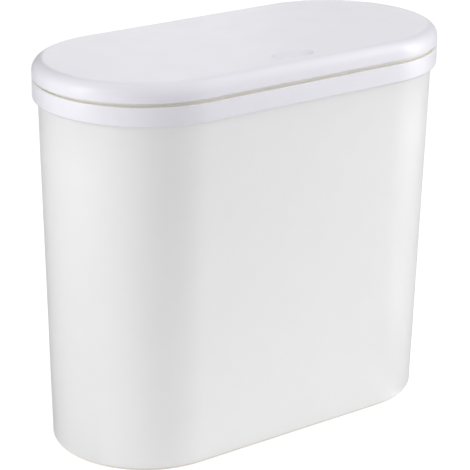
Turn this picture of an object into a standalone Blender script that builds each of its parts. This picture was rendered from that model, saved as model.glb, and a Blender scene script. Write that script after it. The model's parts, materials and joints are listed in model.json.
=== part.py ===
"""Slim bathroom bin with a press-to-open lid, modelled as its separate pieces, in metres, +Z up.

The bin stands on z = 0. Its long side lies along X, its front faces -Y and its hinge is at +Y.
Every plan outline is a stadium: two half circles round centres at x = -END_CENTRE and +END_CENTRE,
joined by straight sides. A (radius, height) pair therefore stands for a whole ring round the bin.

The lid's pieces are drawn in the pressed position, flat on the collar. One empty on the hinge's
axis then turns them up by LID_REST_TILT, which is where the latch holds the lid.
"""
import math

import bmesh
import bpy
from mathutils import Matrix, Vector

# The sRGB curve
CURVE_TOE = 0.04045
CURVE_SLOPE = 12.92
CURVE_OFFSET = 0.055
CURVE_POWER = 2.4

# Clearances and overlaps
SEAT_GAP = 0.0003
RUNNING_GAP = 0.0004
PIN_CLEARANCE = 0.0001
SCREW_CLEARANCE = 0.0002
OVERRUN = 0.001

# Facets
END_SEGMENTS = 22
ROUND_SEGMENTS = 20
SMALL_SEGMENTS = 12
EDGE_STEPS = 3
FILLET_STEPS = 6

# Collar, the frame that carries the lid and holds the bag
COLLAR_LENGTH = 0.300
COLLAR_WIDTH = 0.146
COLLAR_HEIGHT = 0.013
COLLAR_DECK = 0.0022
COLLAR_SKIRT_WALL = 0.0028
COLLAR_SKIRT_ROUND = 0.0014
COLLAR_TOP_ROUND = 0.0008
COLLAR_DECK_WIDTH = 0.013
BAG_SKIRT_WALL = 0.002
BAG_SKIRT_DROP = 0.016
BAG_GAP = 0.0006

# Bucket
BUCKET_HEIGHT = 0.249
BUCKET_TAPER = 0.006
BUCKET_WALL = 0.0022
BUCKET_FLOOR = 0.0025
BUCKET_EDGE_ROUND = 0.002
BUCKET_INNER_ROUND = 0.007
FOOT_RECESS = 0.0015
FOOT_WIDTH = 0.008
RIM_HEIGHT = 0.0040
RIM_PROUD = 0.0003
RIM_INSIDE = 0.0008
RIM_ROUND = 0.0006
RIM_CLEARANCE = 0.0003

# Lid shell
LID_PROUD = 0.0005
LID_WALL = 0.0022
LID_HEIGHT = 0.012
LID_FILLET = 0.0085
LID_EDGE_ROUND = 0.0004
LID_CROWN = 0.0012
LID_SPINE_RADIUS = 0.008
LID_CROWN_SHARES = (0.92, 0.78, 0.60, 0.38)
LID_REST_TILT = math.radians(0.9)
LID_RIB_WALL = 0.0014
LID_RIB_DROP = 0.0036
LID_RIB_SHARES = (0.28, 0.69)
LID_RIB_END_GAP = 0.004

# Press spot on the lid
DIMPLE_LENGTH = 0.034
DIMPLE_WIDTH = 0.018
DIMPLE_DEPTH = 0.0018
DIMPLE_FROM_FRONT = 0.0255
DIMPLE_SPAN_SHARE = 0.7

# Hinge
RAIL_RADIUS = 0.0033
RAIL_INSET = 0.0002
RAIL_END_OVERHANG = 0.011
RAIL_DEPTH_IN_DECK = 0.001
KNUCKLE_RADIUS = 0.0030
KNUCKLE_CLEARANCE = 0.0005
KNUCKLE_FROM_RAIL_END = 0.028
KNUCKLE_WIDTH = 0.0092
PIN_RADIUS = 0.00125
PIN_GRIP = 0.0075
LID_TRIM_RISE = 0.0039
LID_TRIM_LEAD = 0.0005

# Torsion springs of the hinge
HINGE_SPRING_WIRE = 0.0007
HINGE_SPRING_RADIUS = 0.0019
HINGE_SPRING_PITCH = 0.0012
HINGE_SPRING_TURNS = 5
HINGE_SPRING_LEG = 0.008
SPRING_SEAT_WIDTH = 0.0024
SPRING_SEAT_LENGTH = 0.004
CURL_POINTS = 9

# Push-push latch under the front of the lid
LATCH_INSET = 0.004
LATCH_MOUTH_DEPTH = 0.0052
LATCH_MOUTH_HALF = 0.0056
LATCH_STROKE = 0.005
LATCH_PRESS = 0.002
HOUSING_WALL = 0.0025
HOUSING_FLOOR = 0.002
HOUSING_FRONT_WALL = 0.0019
SLIDER_WIDTH = 0.0154
SLIDER_FRONT = 0.0041
SLIDER_BACK = 0.0048
SLIDER_HEIGHT = 0.011
WIRE_SPACE = 0.0015
COVER_WALL = 0.0015
EAR_LENGTH = 0.009
EAR_DEPTH = 0.007
EAR_THICKNESS = 0.002
SHELF_HALF_LENGTH = 0.0215
SHELF_BACK_MARGIN = 0.0016
WINDOW_HALF_LENGTH = 0.0065
WINDOW_HALF_DEPTH = 0.0045
LATCH_BOSS_RADIUS = 0.0032
LATCH_BOSS_HEIGHT = 0.0047

# Heart-shaped track in the slider and the wire that runs in it
TRACK_LANE = 0.0030
TRACK_HALF = 0.00075
TRACK_DEPTH = 0.0016
TRACK_FOOT_MARGIN = 0.00135
FOLLOWER_WIRE = 0.0010
FOLLOWER_BEND = 0.0009
FOLLOWER_PIVOT_RISE = 0.0012
FOLLOWER_HOLE_CLEARANCE = 0.00015

# Latch spring
LATCH_SPRING_WIRE = 0.0006
LATCH_SPRING_RADIUS = 0.0021
LATCH_SPRING_TURNS = 5
LATCH_SPRING_BORE = 0.0028
LATCH_SPRING_BORE_DEPTH = 0.0066
LATCH_SPRING_BACK = -0.0004

# Claws on the slider and the striker that they hold
CLAW_WALL = 0.0017
CLAW_DEPTH = 0.006
CLAW_BASE = 0.0015
CLAW_HOOK_HEIGHT = 0.0013
CLAW_HOOK_GAP = 0.0004
STRIKER_STEM_HALF = 0.0015
STRIKER_HEAD_HALF = 0.0030
STRIKER_HEAD_HEIGHT = 0.0036
STRIKER_POINT_HALF = 0.0010
STRIKER_DEPTH = 0.006
STRIKER_PLATE_HALF = 0.014
STRIKER_PLATE = 0.002
STRIKER_PLATE_DROP = 0.0019
STRIKER_ROOT = 0.002
STRIKER_TIP_CLEARANCE = 0.0006
STRIKER_SCREW_X = 0.0095
LID_BOSS_RADIUS = 0.0030

# Screws of the latch and of the striker
SCREW_RADIUS = 0.00125
SCREW_HEAD_RADIUS = 0.0025
SCREW_HEAD_HEIGHT = 0.0015
SCREW_POINT = 0.0012
LATCH_SCREW_LENGTH = 0.0078
STRIKER_SCREW_LENGTH = 0.0042
SCREW_TIP_ROOM = 0.0004

# Rubber bumpers between collar and lid
BUMPER_RADIUS = 0.0028
BUMPER_HEIGHT = 0.0017
BUMPER_ROUND = 0.0005
BUMPER_POCKET = 0.0006
BUMPER_INSET = 0.0090
BUMPER_FROM_END_CENTRE = 0.015
BUMPER_END_ANGLE = math.radians(20)
LID_POST_RADIUS = 0.0022

# Plan of the bin
COLLAR_RADIUS = COLLAR_WIDTH / 2
END_CENTRE = (COLLAR_LENGTH - COLLAR_WIDTH) / 2
SKIRT_INNER_RADIUS = COLLAR_RADIUS - COLLAR_SKIRT_WALL
THROAT_RADIUS = COLLAR_RADIUS - COLLAR_DECK_WIDTH
RIM_OUTER_RADIUS = SKIRT_INNER_RADIUS - RIM_CLEARANCE
BUCKET_TOP_RADIUS = RIM_OUTER_RADIUS - RIM_PROUD
BUCKET_BASE_RADIUS = BUCKET_TOP_RADIUS - BUCKET_TAPER
RIM_INNER_RADIUS = BUCKET_TOP_RADIUS - BUCKET_WALL - RIM_INSIDE
BAG_SKIRT_RADIUS = RIM_INNER_RADIUS - BAG_GAP
LID_RADIUS = COLLAR_RADIUS + LID_PROUD

# Heights of the bin
DECK_UNDERSIDE = BUCKET_HEIGHT + SEAT_GAP
COLLAR_TOP = DECK_UNDERSIDE + COLLAR_DECK
COLLAR_BOTTOM = COLLAR_TOP - COLLAR_HEIGHT
LID_BOTTOM = COLLAR_TOP + SEAT_GAP
LID_EDGE_TOP = LID_BOTTOM + LID_HEIGHT
LID_FILLET_RADIUS = LID_RADIUS - LID_FILLET
LID_FILLET_Z = LID_EDGE_TOP - LID_FILLET
CEILING_EDGE = LID_EDGE_TOP - LID_WALL

# Hinge axis and latch line
RAIL_HALF_LENGTH = END_CENTRE + RAIL_END_OVERHANG
KNUCKLE_X = RAIL_HALF_LENGTH - KNUCKLE_FROM_RAIL_END
HINGE_Y = COLLAR_RADIUS - RAIL_INSET - RAIL_RADIUS
HINGE_Z = COLLAR_TOP + KNUCKLE_RADIUS + KNUCKLE_CLEARANCE
LATCH_Y = LATCH_INSET - THROAT_RADIUS
PIN_BORE = PIN_RADIUS + PIN_CLEARANCE
SPRING_SLOT = HINGE_SPRING_PITCH * (HINGE_SPRING_TURNS + 0.5) + HINGE_SPRING_WIRE + 2 * RUNNING_GAP
SLOT_START = KNUCKLE_X - RUNNING_GAP
SLOT_END = KNUCKLE_X + KNUCKLE_WIDTH + SPRING_SLOT
HINGE_SPRING_X = KNUCKLE_X + KNUCKLE_WIDTH + RUNNING_GAP + HINGE_SPRING_WIRE / 2
PIN_START = SLOT_START - PIN_GRIP
PIN_END = RAIL_HALF_LENGTH - SEAT_GAP

# Heights inside the latch, from its top down, with the slider as it stands when latched
HOUSING_TOP = DECK_UNDERSIDE - SEAT_GAP
MOUTH_BOTTOM = HOUSING_TOP - LATCH_MOUTH_DEPTH
SLIDER_TOP = MOUTH_BOTTOM - RUNNING_GAP - LATCH_STROKE
SLIDER_BOTTOM = SLIDER_TOP - SLIDER_HEIGHT
CAVITY_FLOOR = SLIDER_BOTTOM - LATCH_PRESS - RUNNING_GAP
HOUSING_BOTTOM = CAVITY_FLOOR - HOUSING_FLOOR
TRACK_CLEFT_Z = SLIDER_BOTTOM + TRACK_FOOT_MARGIN + TRACK_HALF + LATCH_STROKE
PIVOT_Z = CAVITY_FLOOR + FOLLOWER_PIVOT_RISE

# Depths inside the latch, measured from the latch line towards the hinge
CAVITY_FRONT = -SLIDER_FRONT - SEAT_GAP
HOUSING_FRONT = CAVITY_FRONT - HOUSING_FRONT_WALL
HOUSING_BACK = SLIDER_BACK + WIRE_SPACE
COVER_FRONT = HOUSING_BACK + SEAT_GAP
COVER_BACK = COVER_FRONT + COVER_WALL
WIRE_PLANE = (SLIDER_BACK + COVER_FRONT) / 2
CAVITY_HALF = SLIDER_WIDTH / 2 + SEAT_GAP
HOUSING_HALF = CAVITY_HALF + HOUSING_WALL
EAR_SCREW_X = HOUSING_HALF + EAR_LENGTH / 2
EAR_BOTTOM = HOUSING_TOP - EAR_THICKNESS
SHELF_BACK = COVER_BACK + SHELF_BACK_MARGIN

# The striker, drawn with the lid pressed flat, and the claws, drawn at rest
LID_LIFT_AT_LATCH = (HINGE_Y - LATCH_Y) * math.sin(LID_REST_TILT)
STRIKER_TIP_REST = SLIDER_TOP + LATCH_STROKE + LATCH_PRESS + STRIKER_TIP_CLEARANCE
STRIKER_TIP = STRIKER_TIP_REST - LID_LIFT_AT_LATCH
STRIKER_PLATE_TOP = CEILING_EDGE - STRIKER_PLATE_DROP
STRIKER_PLATE_BOTTOM = STRIKER_PLATE_TOP - STRIKER_PLATE
CLAW_OUTER = LATCH_MOUTH_HALF - SEAT_GAP
CLAW_INNER = CLAW_OUTER - CLAW_WALL
CLAW_BOTTOM = SLIDER_TOP + SEAT_GAP
CLAW_HOOK_Z = STRIKER_TIP_REST + STRIKER_HEAD_HEIGHT + SEAT_GAP

# Tops of the rubber bumpers
BUMPER_BOTTOM = COLLAR_TOP - BUMPER_POCKET + SEAT_GAP
BUMPER_TOP = BUMPER_BOTTOM + BUMPER_HEIGHT


def linear_colour(hex_colour):
    """Turn an sRGB hex colour into linear red, green, blue and alpha."""
    channels = [int(hex_colour[i:i + 2], 16) / 255 for i in (1, 3, 5)]
    linear = []
    for c in channels:
        curved = ((c + CURVE_OFFSET) / (1 + CURVE_OFFSET)) ** CURVE_POWER
        linear.append(c / CURVE_SLOPE if c <= CURVE_TOE else curved)
    return (*linear, 1.0)


def make_material(name, hex_colour, roughness, metallic=0.0):
    """A Principled material with one colour, roughness and metallic value."""
    material = bpy.data.materials.new(name)
    material.use_nodes = True
    shader = material.node_tree.nodes["Principled BSDF"]
    shader.inputs["Base Color"].default_value = linear_colour(hex_colour)
    shader.inputs["Roughness"].default_value = roughness
    shader.inputs["Metallic"].default_value = metallic
    material.diffuse_color = linear_colour(hex_colour)
    return material


def arc(centre_r, centre_z, radius, start_degrees, end_degrees, steps):
    """Points of an arc in a (radius, height) profile, both ends included."""
    points = []
    for i in range(steps + 1):
        angle = math.radians(start_degrees + (end_degrees - start_degrees) * i / steps)
        points.append((centre_r + radius * math.cos(angle), centre_z + radius * math.sin(angle)))
    return points


def stadium_loop(radius, z):
    """One stadium outline at height z, counter-clockwise from the right end's front."""
    loop = []
    for centre_x, first in ((END_CENTRE, -90), (-END_CENTRE, 90)):
        for i in range(END_SEGMENTS + 1):
            angle = math.radians(first + 180 * i / END_SEGMENTS)
            loop.append(Vector((centre_x + radius * math.cos(angle), radius * math.sin(angle), z)))
    return loop


def circle_loop(centre, radius, z, segments):
    """One horizontal circle round a vertical axis through centre."""
    angles = [2 * math.pi * i / segments for i in range(segments)]
    return [Vector((centre[0] + radius * math.cos(a), centre[1] + radius * math.sin(a), z)) for a in angles]


def skin_loops(mesh, loops, closed=False):
    """Join loops of equal length with quads, and cap the two ends unless the stack is closed."""
    rows = [[mesh.verts.new(point) for point in loop] for loop in loops]
    pairs = list(zip(rows, rows[1:]))
    if closed:
        pairs.append((rows[-1], rows[0]))
    for low, high in pairs:
        for i in range(len(low)):
            j = (i + 1) % len(low)
            mesh.faces.new((low[i], low[j], high[j], high[i]))
    if not closed:
        mesh.faces.new(rows[0])
        mesh.faces.new(rows[-1])


def add_stadium_stack(mesh, profile, closed=False):
    """A stadium body from its (radius, height) profile."""
    skin_loops(mesh, [stadium_loop(radius, z) for radius, z in profile], closed)


def add_turned(mesh, centre, profile, segments=SMALL_SEGMENTS):
    """A round body about a vertical axis from its (radius, height) profile."""
    skin_loops(mesh, [circle_loop(centre, radius, z, segments) for radius, z in profile])


def add_box(mesh, low, high):
    """A box between two corners."""
    outline = [(low[0], low[1]), (high[0], low[1]), (high[0], high[1]), (low[0], high[1])]
    skin_loops(mesh, [[Vector((x, y, z)) for x, y in outline] for z in (low[2], high[2])])


def add_rod(mesh, radius, start_x, end_x, segments=SMALL_SEGMENTS):
    """A round rod along X about the hinge's axis."""
    loops = []
    for x in (start_x, end_x):
        angles = [2 * math.pi * (i + 0.5) / segments for i in range(segments)]
        loops.append([Vector((x, HINGE_Y + radius * math.cos(a), HINGE_Z + radius * math.sin(a)))
                      for a in angles])
    skin_loops(mesh, loops)


def add_side_prism(mesh, outline, start_x, end_x):
    """A prism along X from an outline of (y, z) points."""
    skin_loops(mesh, [[Vector((x, y, z)) for y, z in outline] for x in (start_x, end_x)])


def add_front_prism(mesh, outline, start_y, end_y):
    """A prism along Y from an outline of (x, z) points."""
    skin_loops(mesh, [[Vector((x, y, z)) for x, z in outline] for y in (start_y, end_y)])


def make_object(name, mesh, material=None, origin=(0, 0, 0), parent=None):
    """Close the mesh into a named object whose origin is the given point."""
    bmesh.ops.recalc_face_normals(mesh, faces=mesh.faces)
    bmesh.ops.translate(mesh, verts=mesh.verts, vec=-Vector(origin))
    data = bpy.data.meshes.new(name)
    mesh.to_mesh(data)
    mesh.free()
    body = bpy.data.objects.new(name, data)
    bpy.context.scene.collection.objects.link(body)
    if parent is None:
        body.location = origin
    else:
        body.parent = parent
    if material is not None:
        data.materials.append(material)
        data.shade_smooth()
        data.set_sharp_from_angle(angle=math.radians(35))
    return body


def combine(mesh, tool_mesh, operation):
    """Return the mesh after one exact Boolean with the tool, and free both inputs."""
    body = make_object("body", mesh)
    tool = make_object("tool", tool_mesh)
    modifier = body.modifiers.new("combine", "BOOLEAN")
    modifier.operation = operation
    modifier.solver = "EXACT"
    modifier.object = tool
    bpy.context.view_layer.update()
    evaluated = body.evaluated_get(bpy.context.evaluated_depsgraph_get())
    result = bmesh.new()
    result.from_mesh(evaluated.data)
    for item in (body, tool):
        data = item.data
        bpy.data.objects.remove(item)
        bpy.data.meshes.remove(data)
    return result


def make_wire(name, points, diameter, material, bevel_resolution=1):
    """A round wire through the points, with closed ends."""
    curve = bpy.data.curves.new(name, "CURVE")
    curve.dimensions = "3D"
    curve.bevel_depth = diameter / 2
    curve.bevel_resolution = bevel_resolution
    curve.use_fill_caps = True
    spline = curve.splines.new("POLY")
    spline.points.add(len(points) - 1)
    for slot, point in zip(spline.points, points):
        slot.co = (*point, 1.0)
    curve.materials.append(material)
    body = bpy.data.objects.new(name, curve)
    bpy.context.scene.collection.objects.link(body)
    return body


def print_least_gap(name, points, diameter):
    """Print the least gap of a wound wire to itself, leaving out points close along the wire."""
    skip = CURL_POINTS // 2 + 1
    least = min((points[i] - points[j]).length
                for i in range(len(points)) for j in range(i + skip, len(points)))
    print(f"{name}: least gap to itself {(least - diameter) * 1000:.2f} mm")


def bucket_radius(z):
    """Outer radius of the bucket's tapered wall at height z."""
    return BUCKET_BASE_RADIUS + BUCKET_TAPER * z / BUCKET_HEIGHT


def make_bucket(material):
    """Tapered bucket with a foot ring, a radiused floor and a thickened rim under the collar."""
    rim_bottom = BUCKET_HEIGHT - RIM_HEIGHT
    rim_ramp = rim_bottom - RIM_INSIDE
    floor_top = FOOT_RECESS + BUCKET_FLOOR
    inner_start = floor_top + BUCKET_INNER_ROUND
    inner_radius = bucket_radius(inner_start) - BUCKET_WALL
    foot_outer = BUCKET_BASE_RADIUS - BUCKET_EDGE_ROUND
    foot_inner = foot_outer - FOOT_WIDTH
    profile = [(foot_inner - FOOT_RECESS, FOOT_RECESS), (foot_inner, 0)]
    profile += arc(foot_outer, BUCKET_EDGE_ROUND, BUCKET_EDGE_ROUND, -90, 0, EDGE_STEPS)
    profile += [(bucket_radius(rim_ramp), rim_ramp), (RIM_OUTER_RADIUS, rim_bottom)]
    profile += arc(RIM_OUTER_RADIUS - RIM_ROUND, BUCKET_HEIGHT - RIM_ROUND, RIM_ROUND, 0, 90, EDGE_STEPS)
    profile += arc(RIM_INNER_RADIUS + RIM_ROUND, BUCKET_HEIGHT - RIM_ROUND, RIM_ROUND, 90, 180, EDGE_STEPS)
    profile += [(RIM_INNER_RADIUS, rim_bottom), (bucket_radius(rim_ramp) - BUCKET_WALL, rim_ramp)]
    profile += arc(inner_radius - BUCKET_INNER_ROUND, inner_start, BUCKET_INNER_ROUND, 0, -90, FILLET_STEPS)
    mesh = bmesh.new()
    add_stadium_stack(mesh, profile)
    return make_object("bucket", mesh, material)


def bumper_places():
    """Centres of the four bumpers on the collar's deck."""
    reach = COLLAR_RADIUS - BUMPER_INSET
    end_x = END_CENTRE + reach * math.cos(BUMPER_END_ANGLE)
    end_y = reach * math.sin(BUMPER_END_ANGLE)
    places = []
    for side in (-1, 1):
        places.append((side * (END_CENTRE - BUMPER_FROM_END_CENTRE), -reach))
        places.append((side * end_x, end_y))
    return places


def collar_profile():
    """Section of the collar: outer skirt, deck, and the inner skirt that keeps the bag in place."""
    bag_inner = BAG_SKIRT_RADIUS - BAG_SKIRT_WALL
    bag_bottom = DECK_UNDERSIDE - BAG_SKIRT_DROP
    round_centre = COLLAR_RADIUS - COLLAR_SKIRT_ROUND
    profile = [(SKIRT_INNER_RADIUS, COLLAR_BOTTOM)]
    profile += arc(round_centre, COLLAR_BOTTOM + COLLAR_SKIRT_ROUND, COLLAR_SKIRT_ROUND, -90, 0, EDGE_STEPS)
    profile += arc(COLLAR_RADIUS - COLLAR_TOP_ROUND, COLLAR_TOP - COLLAR_TOP_ROUND, COLLAR_TOP_ROUND,
                   0, 90, EDGE_STEPS)
    profile += arc(THROAT_RADIUS + COLLAR_TOP_ROUND, COLLAR_TOP - COLLAR_TOP_ROUND, COLLAR_TOP_ROUND,
                   90, 180, EDGE_STEPS)
    profile += [(THROAT_RADIUS, DECK_UNDERSIDE), (bag_inner, DECK_UNDERSIDE), (bag_inner, bag_bottom)]
    profile += [(BAG_SKIRT_RADIUS, bag_bottom), (BAG_SKIRT_RADIUS, DECK_UNDERSIDE)]
    profile += [(SKIRT_INNER_RADIUS, DECK_UNDERSIDE)]
    return profile


def make_hinge_rail():
    """Rail along the back of the deck with a round top about the hinge's axis."""
    foot_z = COLLAR_TOP - RAIL_DEPTH_IN_DECK
    outline = [(HINGE_Y + RAIL_RADIUS, foot_z)]
    outline += arc(HINGE_Y, HINGE_Z, RAIL_RADIUS, 0, 180, FILLET_STEPS)
    outline += [(HINGE_Y - RAIL_RADIUS, foot_z)]
    rail = bmesh.new()
    add_side_prism(rail, outline, -RAIL_HALF_LENGTH, RAIL_HALF_LENGTH)
    plan = bmesh.new()
    plan_top = HINGE_Z + RAIL_RADIUS + OVERRUN
    add_stadium_stack(plan, [(COLLAR_RADIUS - RAIL_INSET, foot_z - OVERRUN),
                             (COLLAR_RADIUS - RAIL_INSET, plan_top)])
    return combine(rail, plan, "INTERSECT")


def make_collar(material):
    """Collar with its hinge rail, latch shelf, screw bosses, spring seats and bumper pockets."""
    mesh = bmesh.new()
    add_stadium_stack(mesh, collar_profile(), closed=True)
    mesh = combine(mesh, make_hinge_rail(), "UNION")

    adds = bmesh.new()
    shelf_front = -THROAT_RADIUS - COLLAR_TOP_ROUND - OVERRUN
    add_box(adds, (-SHELF_HALF_LENGTH, shelf_front, DECK_UNDERSIDE),
            (SHELF_HALF_LENGTH, LATCH_Y + SHELF_BACK, COLLAR_TOP))
    mesh = combine(mesh, adds, "UNION")

    adds = bmesh.new()
    for side in (-1, 1):
        boss_top = COLLAR_TOP + LATCH_BOSS_HEIGHT
        root_z = COLLAR_TOP - COLLAR_DECK / 2
        add_turned(adds, (side * EAR_SCREW_X, LATCH_Y),
                   [(LATCH_BOSS_RADIUS, root_z), (LATCH_BOSS_RADIUS, boss_top)])
        seat_x = side * HINGE_SPRING_X
        seat_back = HINGE_Y - RAIL_RADIUS - SEAT_GAP
        seat_top = HINGE_Z - HINGE_SPRING_RADIUS - HINGE_SPRING_WIRE / 2 - SEAT_GAP
        seat_front = seat_back - SPRING_SEAT_LENGTH
        add_box(adds, (seat_x - SPRING_SEAT_WIDTH / 2, seat_front, root_z),
                (seat_x + SPRING_SEAT_WIDTH / 2, seat_back, seat_top))
    mesh = combine(mesh, adds, "UNION")

    slot_low = HINGE_Z - KNUCKLE_RADIUS - KNUCKLE_CLEARANCE
    slot_top = HINGE_Z + RAIL_RADIUS + OVERRUN
    slot_front = HINGE_Y - RAIL_RADIUS - OVERRUN
    knuckle_end = KNUCKLE_X + KNUCKLE_WIDTH + RUNNING_GAP
    spring_back = HINGE_Y + HINGE_SPRING_RADIUS + HINGE_SPRING_WIRE / 2 + SEAT_GAP
    for start, end, back in ((SLOT_START, knuckle_end, HINGE_Y + RAIL_RADIUS + OVERRUN),
                             (knuckle_end - RUNNING_GAP, SLOT_END, spring_back)):
        cuts = bmesh.new()
        for side in (-1, 1):
            slot = sorted((side * start, side * end))
            add_box(cuts, (slot[0], slot_front, slot_low), (slot[1], back, slot_top))
        mesh = combine(mesh, cuts, "DIFFERENCE")

    cuts = bmesh.new()
    for side in (-1, 1):
        bore = sorted((side * (PIN_START - SEAT_GAP), side * (RAIL_HALF_LENGTH + OVERRUN)))
        add_rod(cuts, PIN_BORE, bore[0], bore[1])
        hole_top = COLLAR_TOP + LATCH_BOSS_HEIGHT - LATCH_BOSS_RADIUS / 2
        add_turned(cuts, (side * EAR_SCREW_X, LATCH_Y),
                   [(SCREW_RADIUS + SCREW_CLEARANCE, DECK_UNDERSIDE - OVERRUN),
                    (SCREW_RADIUS + SCREW_CLEARANCE, hole_top)])
    add_box(cuts, (-WINDOW_HALF_LENGTH, LATCH_Y - WINDOW_HALF_DEPTH, DECK_UNDERSIDE - OVERRUN),
            (WINDOW_HALF_LENGTH, LATCH_Y + WINDOW_HALF_DEPTH, COLLAR_TOP + OVERRUN))
    for centre in bumper_places():
        pocket = BUMPER_RADIUS + SEAT_GAP
        add_turned(cuts, centre, [(pocket, COLLAR_TOP - BUMPER_POCKET), (pocket, COLLAR_TOP + OVERRUN)],
                   ROUND_SEGMENTS)
    mesh = combine(mesh, cuts, "DIFFERENCE")
    return make_object("collar", mesh, material)


def lid_crown_z(radius):
    """Height of the lid's outer top at a ring of the given radius."""
    share = radius / LID_FILLET_RADIUS
    return LID_EDGE_TOP + LID_CROWN * (1 - share ** 2)


def lid_profile():
    """Section of the lid from the middle of its top, round the edge and back to its ceiling."""
    inner_fillet = LID_FILLET - LID_WALL
    inner_radius = LID_RADIUS - LID_WALL
    crown_radii = [LID_SPINE_RADIUS] + [LID_FILLET_RADIUS * share for share in reversed(LID_CROWN_SHARES)]
    profile = [(radius, lid_crown_z(radius)) for radius in crown_radii]
    profile += arc(LID_FILLET_RADIUS, LID_FILLET_Z, LID_FILLET, 90, 0, FILLET_STEPS)
    lip_z = LID_BOTTOM + LID_EDGE_ROUND
    profile += arc(LID_RADIUS - LID_EDGE_ROUND, lip_z, LID_EDGE_ROUND, 0, -90, EDGE_STEPS)
    profile += arc(inner_radius + LID_EDGE_ROUND, lip_z, LID_EDGE_ROUND, -90, -180, EDGE_STEPS)
    profile += arc(LID_FILLET_RADIUS, LID_FILLET_Z, inner_fillet, 0, 90, FILLET_STEPS)
    profile += [(radius, lid_crown_z(radius) - LID_WALL) for radius in reversed(crown_radii)]
    return profile


def dimple_mesh(growth):
    """The press spot's hollow as an ellipsoid, grown on all sides by the given amount."""
    centre_y = DIMPLE_FROM_FRONT - LID_RADIUS
    surface_z = lid_crown_z(abs(centre_y))
    height = DIMPLE_DEPTH / (1 - DIMPLE_SPAN_SHARE)
    spread = math.sqrt(1 - DIMPLE_SPAN_SHARE ** 2)
    half_sizes = (DIMPLE_LENGTH / 2 / spread + growth, DIMPLE_WIDTH / 2 / spread + growth, height + growth)
    mesh = bmesh.new()
    bmesh.ops.create_uvsphere(mesh, u_segments=2 * ROUND_SEGMENTS, v_segments=ROUND_SEGMENTS, radius=1)
    bmesh.ops.scale(mesh, verts=mesh.verts, vec=half_sizes)
    bmesh.ops.translate(mesh, verts=mesh.verts, vec=(0, centre_y, surface_z - DIMPLE_DEPTH + height))
    return mesh


def dimple_backing():
    """The swelling under the press spot that keeps the wall's thickness."""
    centre_y = DIMPLE_FROM_FRONT - LID_RADIUS
    ceiling = lid_crown_z(abs(centre_y)) - LID_WALL
    clip = bmesh.new()
    reach = DIMPLE_LENGTH
    add_box(clip, (-reach, centre_y - reach, ceiling - DIMPLE_DEPTH - LID_WALL),
            (reach, centre_y + reach, ceiling + LID_WALL / 2))
    return combine(dimple_mesh(LID_WALL), clip, "INTERSECT")


def make_lid_shell(material, hinge):
    """Lid with its hinge knuckles, ribs, striker bosses, bumper posts and press spot."""
    mesh = bmesh.new()
    add_stadium_stack(mesh, lid_profile())

    trim = bmesh.new()
    add_box(trim, (-COLLAR_LENGTH / 2, HINGE_Y - LID_TRIM_LEAD, LID_BOTTOM - OVERRUN),
            (COLLAR_LENGTH / 2, LID_RADIUS + OVERRUN, HINGE_Z + LID_TRIM_RISE))
    mesh = combine(mesh, trim, "DIFFERENCE")
    mesh = combine(mesh, dimple_backing(), "UNION")

    adds = bmesh.new()
    rib_bottom = CEILING_EDGE - LID_RIB_DROP
    root_z = CEILING_EDGE + LID_WALL / 2
    for side in (-1, 1):
        for share in LID_RIB_SHARES:
            rib_x = share * COLLAR_LENGTH / 2
            end_x = max(rib_x - END_CENTRE, 0)
            reach = math.sqrt(LID_FILLET_RADIUS ** 2 - end_x ** 2) - LID_RIB_END_GAP
            add_box(adds, (side * rib_x - LID_RIB_WALL / 2, -reach, rib_bottom),
                    (side * rib_x + LID_RIB_WALL / 2, reach, root_z))
        add_turned(adds, (side * STRIKER_SCREW_X, LATCH_Y),
                   [(LID_BOSS_RADIUS, STRIKER_PLATE_TOP + SEAT_GAP), (LID_BOSS_RADIUS, root_z)])
        seat_x = side * (HINGE_SPRING_X + HINGE_SPRING_PITCH * (HINGE_SPRING_TURNS + 0.5))
        seat_back = HINGE_Y - RAIL_RADIUS - SEAT_GAP
        seat_bottom = HINGE_Z + HINGE_SPRING_RADIUS + HINGE_SPRING_WIRE / 2 + SEAT_GAP
        add_box(adds, (seat_x - SPRING_SEAT_WIDTH / 2, seat_back - SPRING_SEAT_LENGTH, seat_bottom),
                (seat_x + SPRING_SEAT_WIDTH / 2, seat_back, root_z))
    for centre in bumper_places():
        add_turned(adds, centre, [(LID_POST_RADIUS, BUMPER_TOP + SEAT_GAP), (LID_POST_RADIUS, root_z)])
    mesh = combine(mesh, adds, "UNION")

    adds = bmesh.new()
    for side in (-1, 1):
        ends = sorted((side * KNUCKLE_X, side * (KNUCKLE_X + KNUCKLE_WIDTH)))
        outline = arc(HINGE_Y, HINGE_Z, KNUCKLE_RADIUS, -180, 45, 2 * FILLET_STEPS)
        outline += [(HINGE_Y, CEILING_EDGE), (HINGE_Y - KNUCKLE_RADIUS, root_z)]
        add_side_prism(adds, outline, ends[0], ends[1])
    mesh = combine(mesh, adds, "UNION")

    cuts = bmesh.new()
    for side in (-1, 1):
        bore = sorted((side * (KNUCKLE_X - OVERRUN), side * (KNUCKLE_X + KNUCKLE_WIDTH + OVERRUN)))
        add_rod(cuts, PIN_BORE, bore[0], bore[1])
        hole_top = STRIKER_PLATE_BOTTOM - SEAT_GAP + STRIKER_SCREW_LENGTH + SCREW_TIP_ROOM
        hole = SCREW_RADIUS + SCREW_CLEARANCE
        add_turned(cuts, (side * STRIKER_SCREW_X, LATCH_Y), [(hole, STRIKER_PLATE_TOP), (hole, hole_top)])
    mesh = combine(mesh, cuts, "DIFFERENCE")
    mesh = combine(mesh, dimple_mesh(0), "DIFFERENCE")
    return make_object("lid_shell", mesh, material, (0, HINGE_Y, HINGE_Z), hinge)


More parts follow.
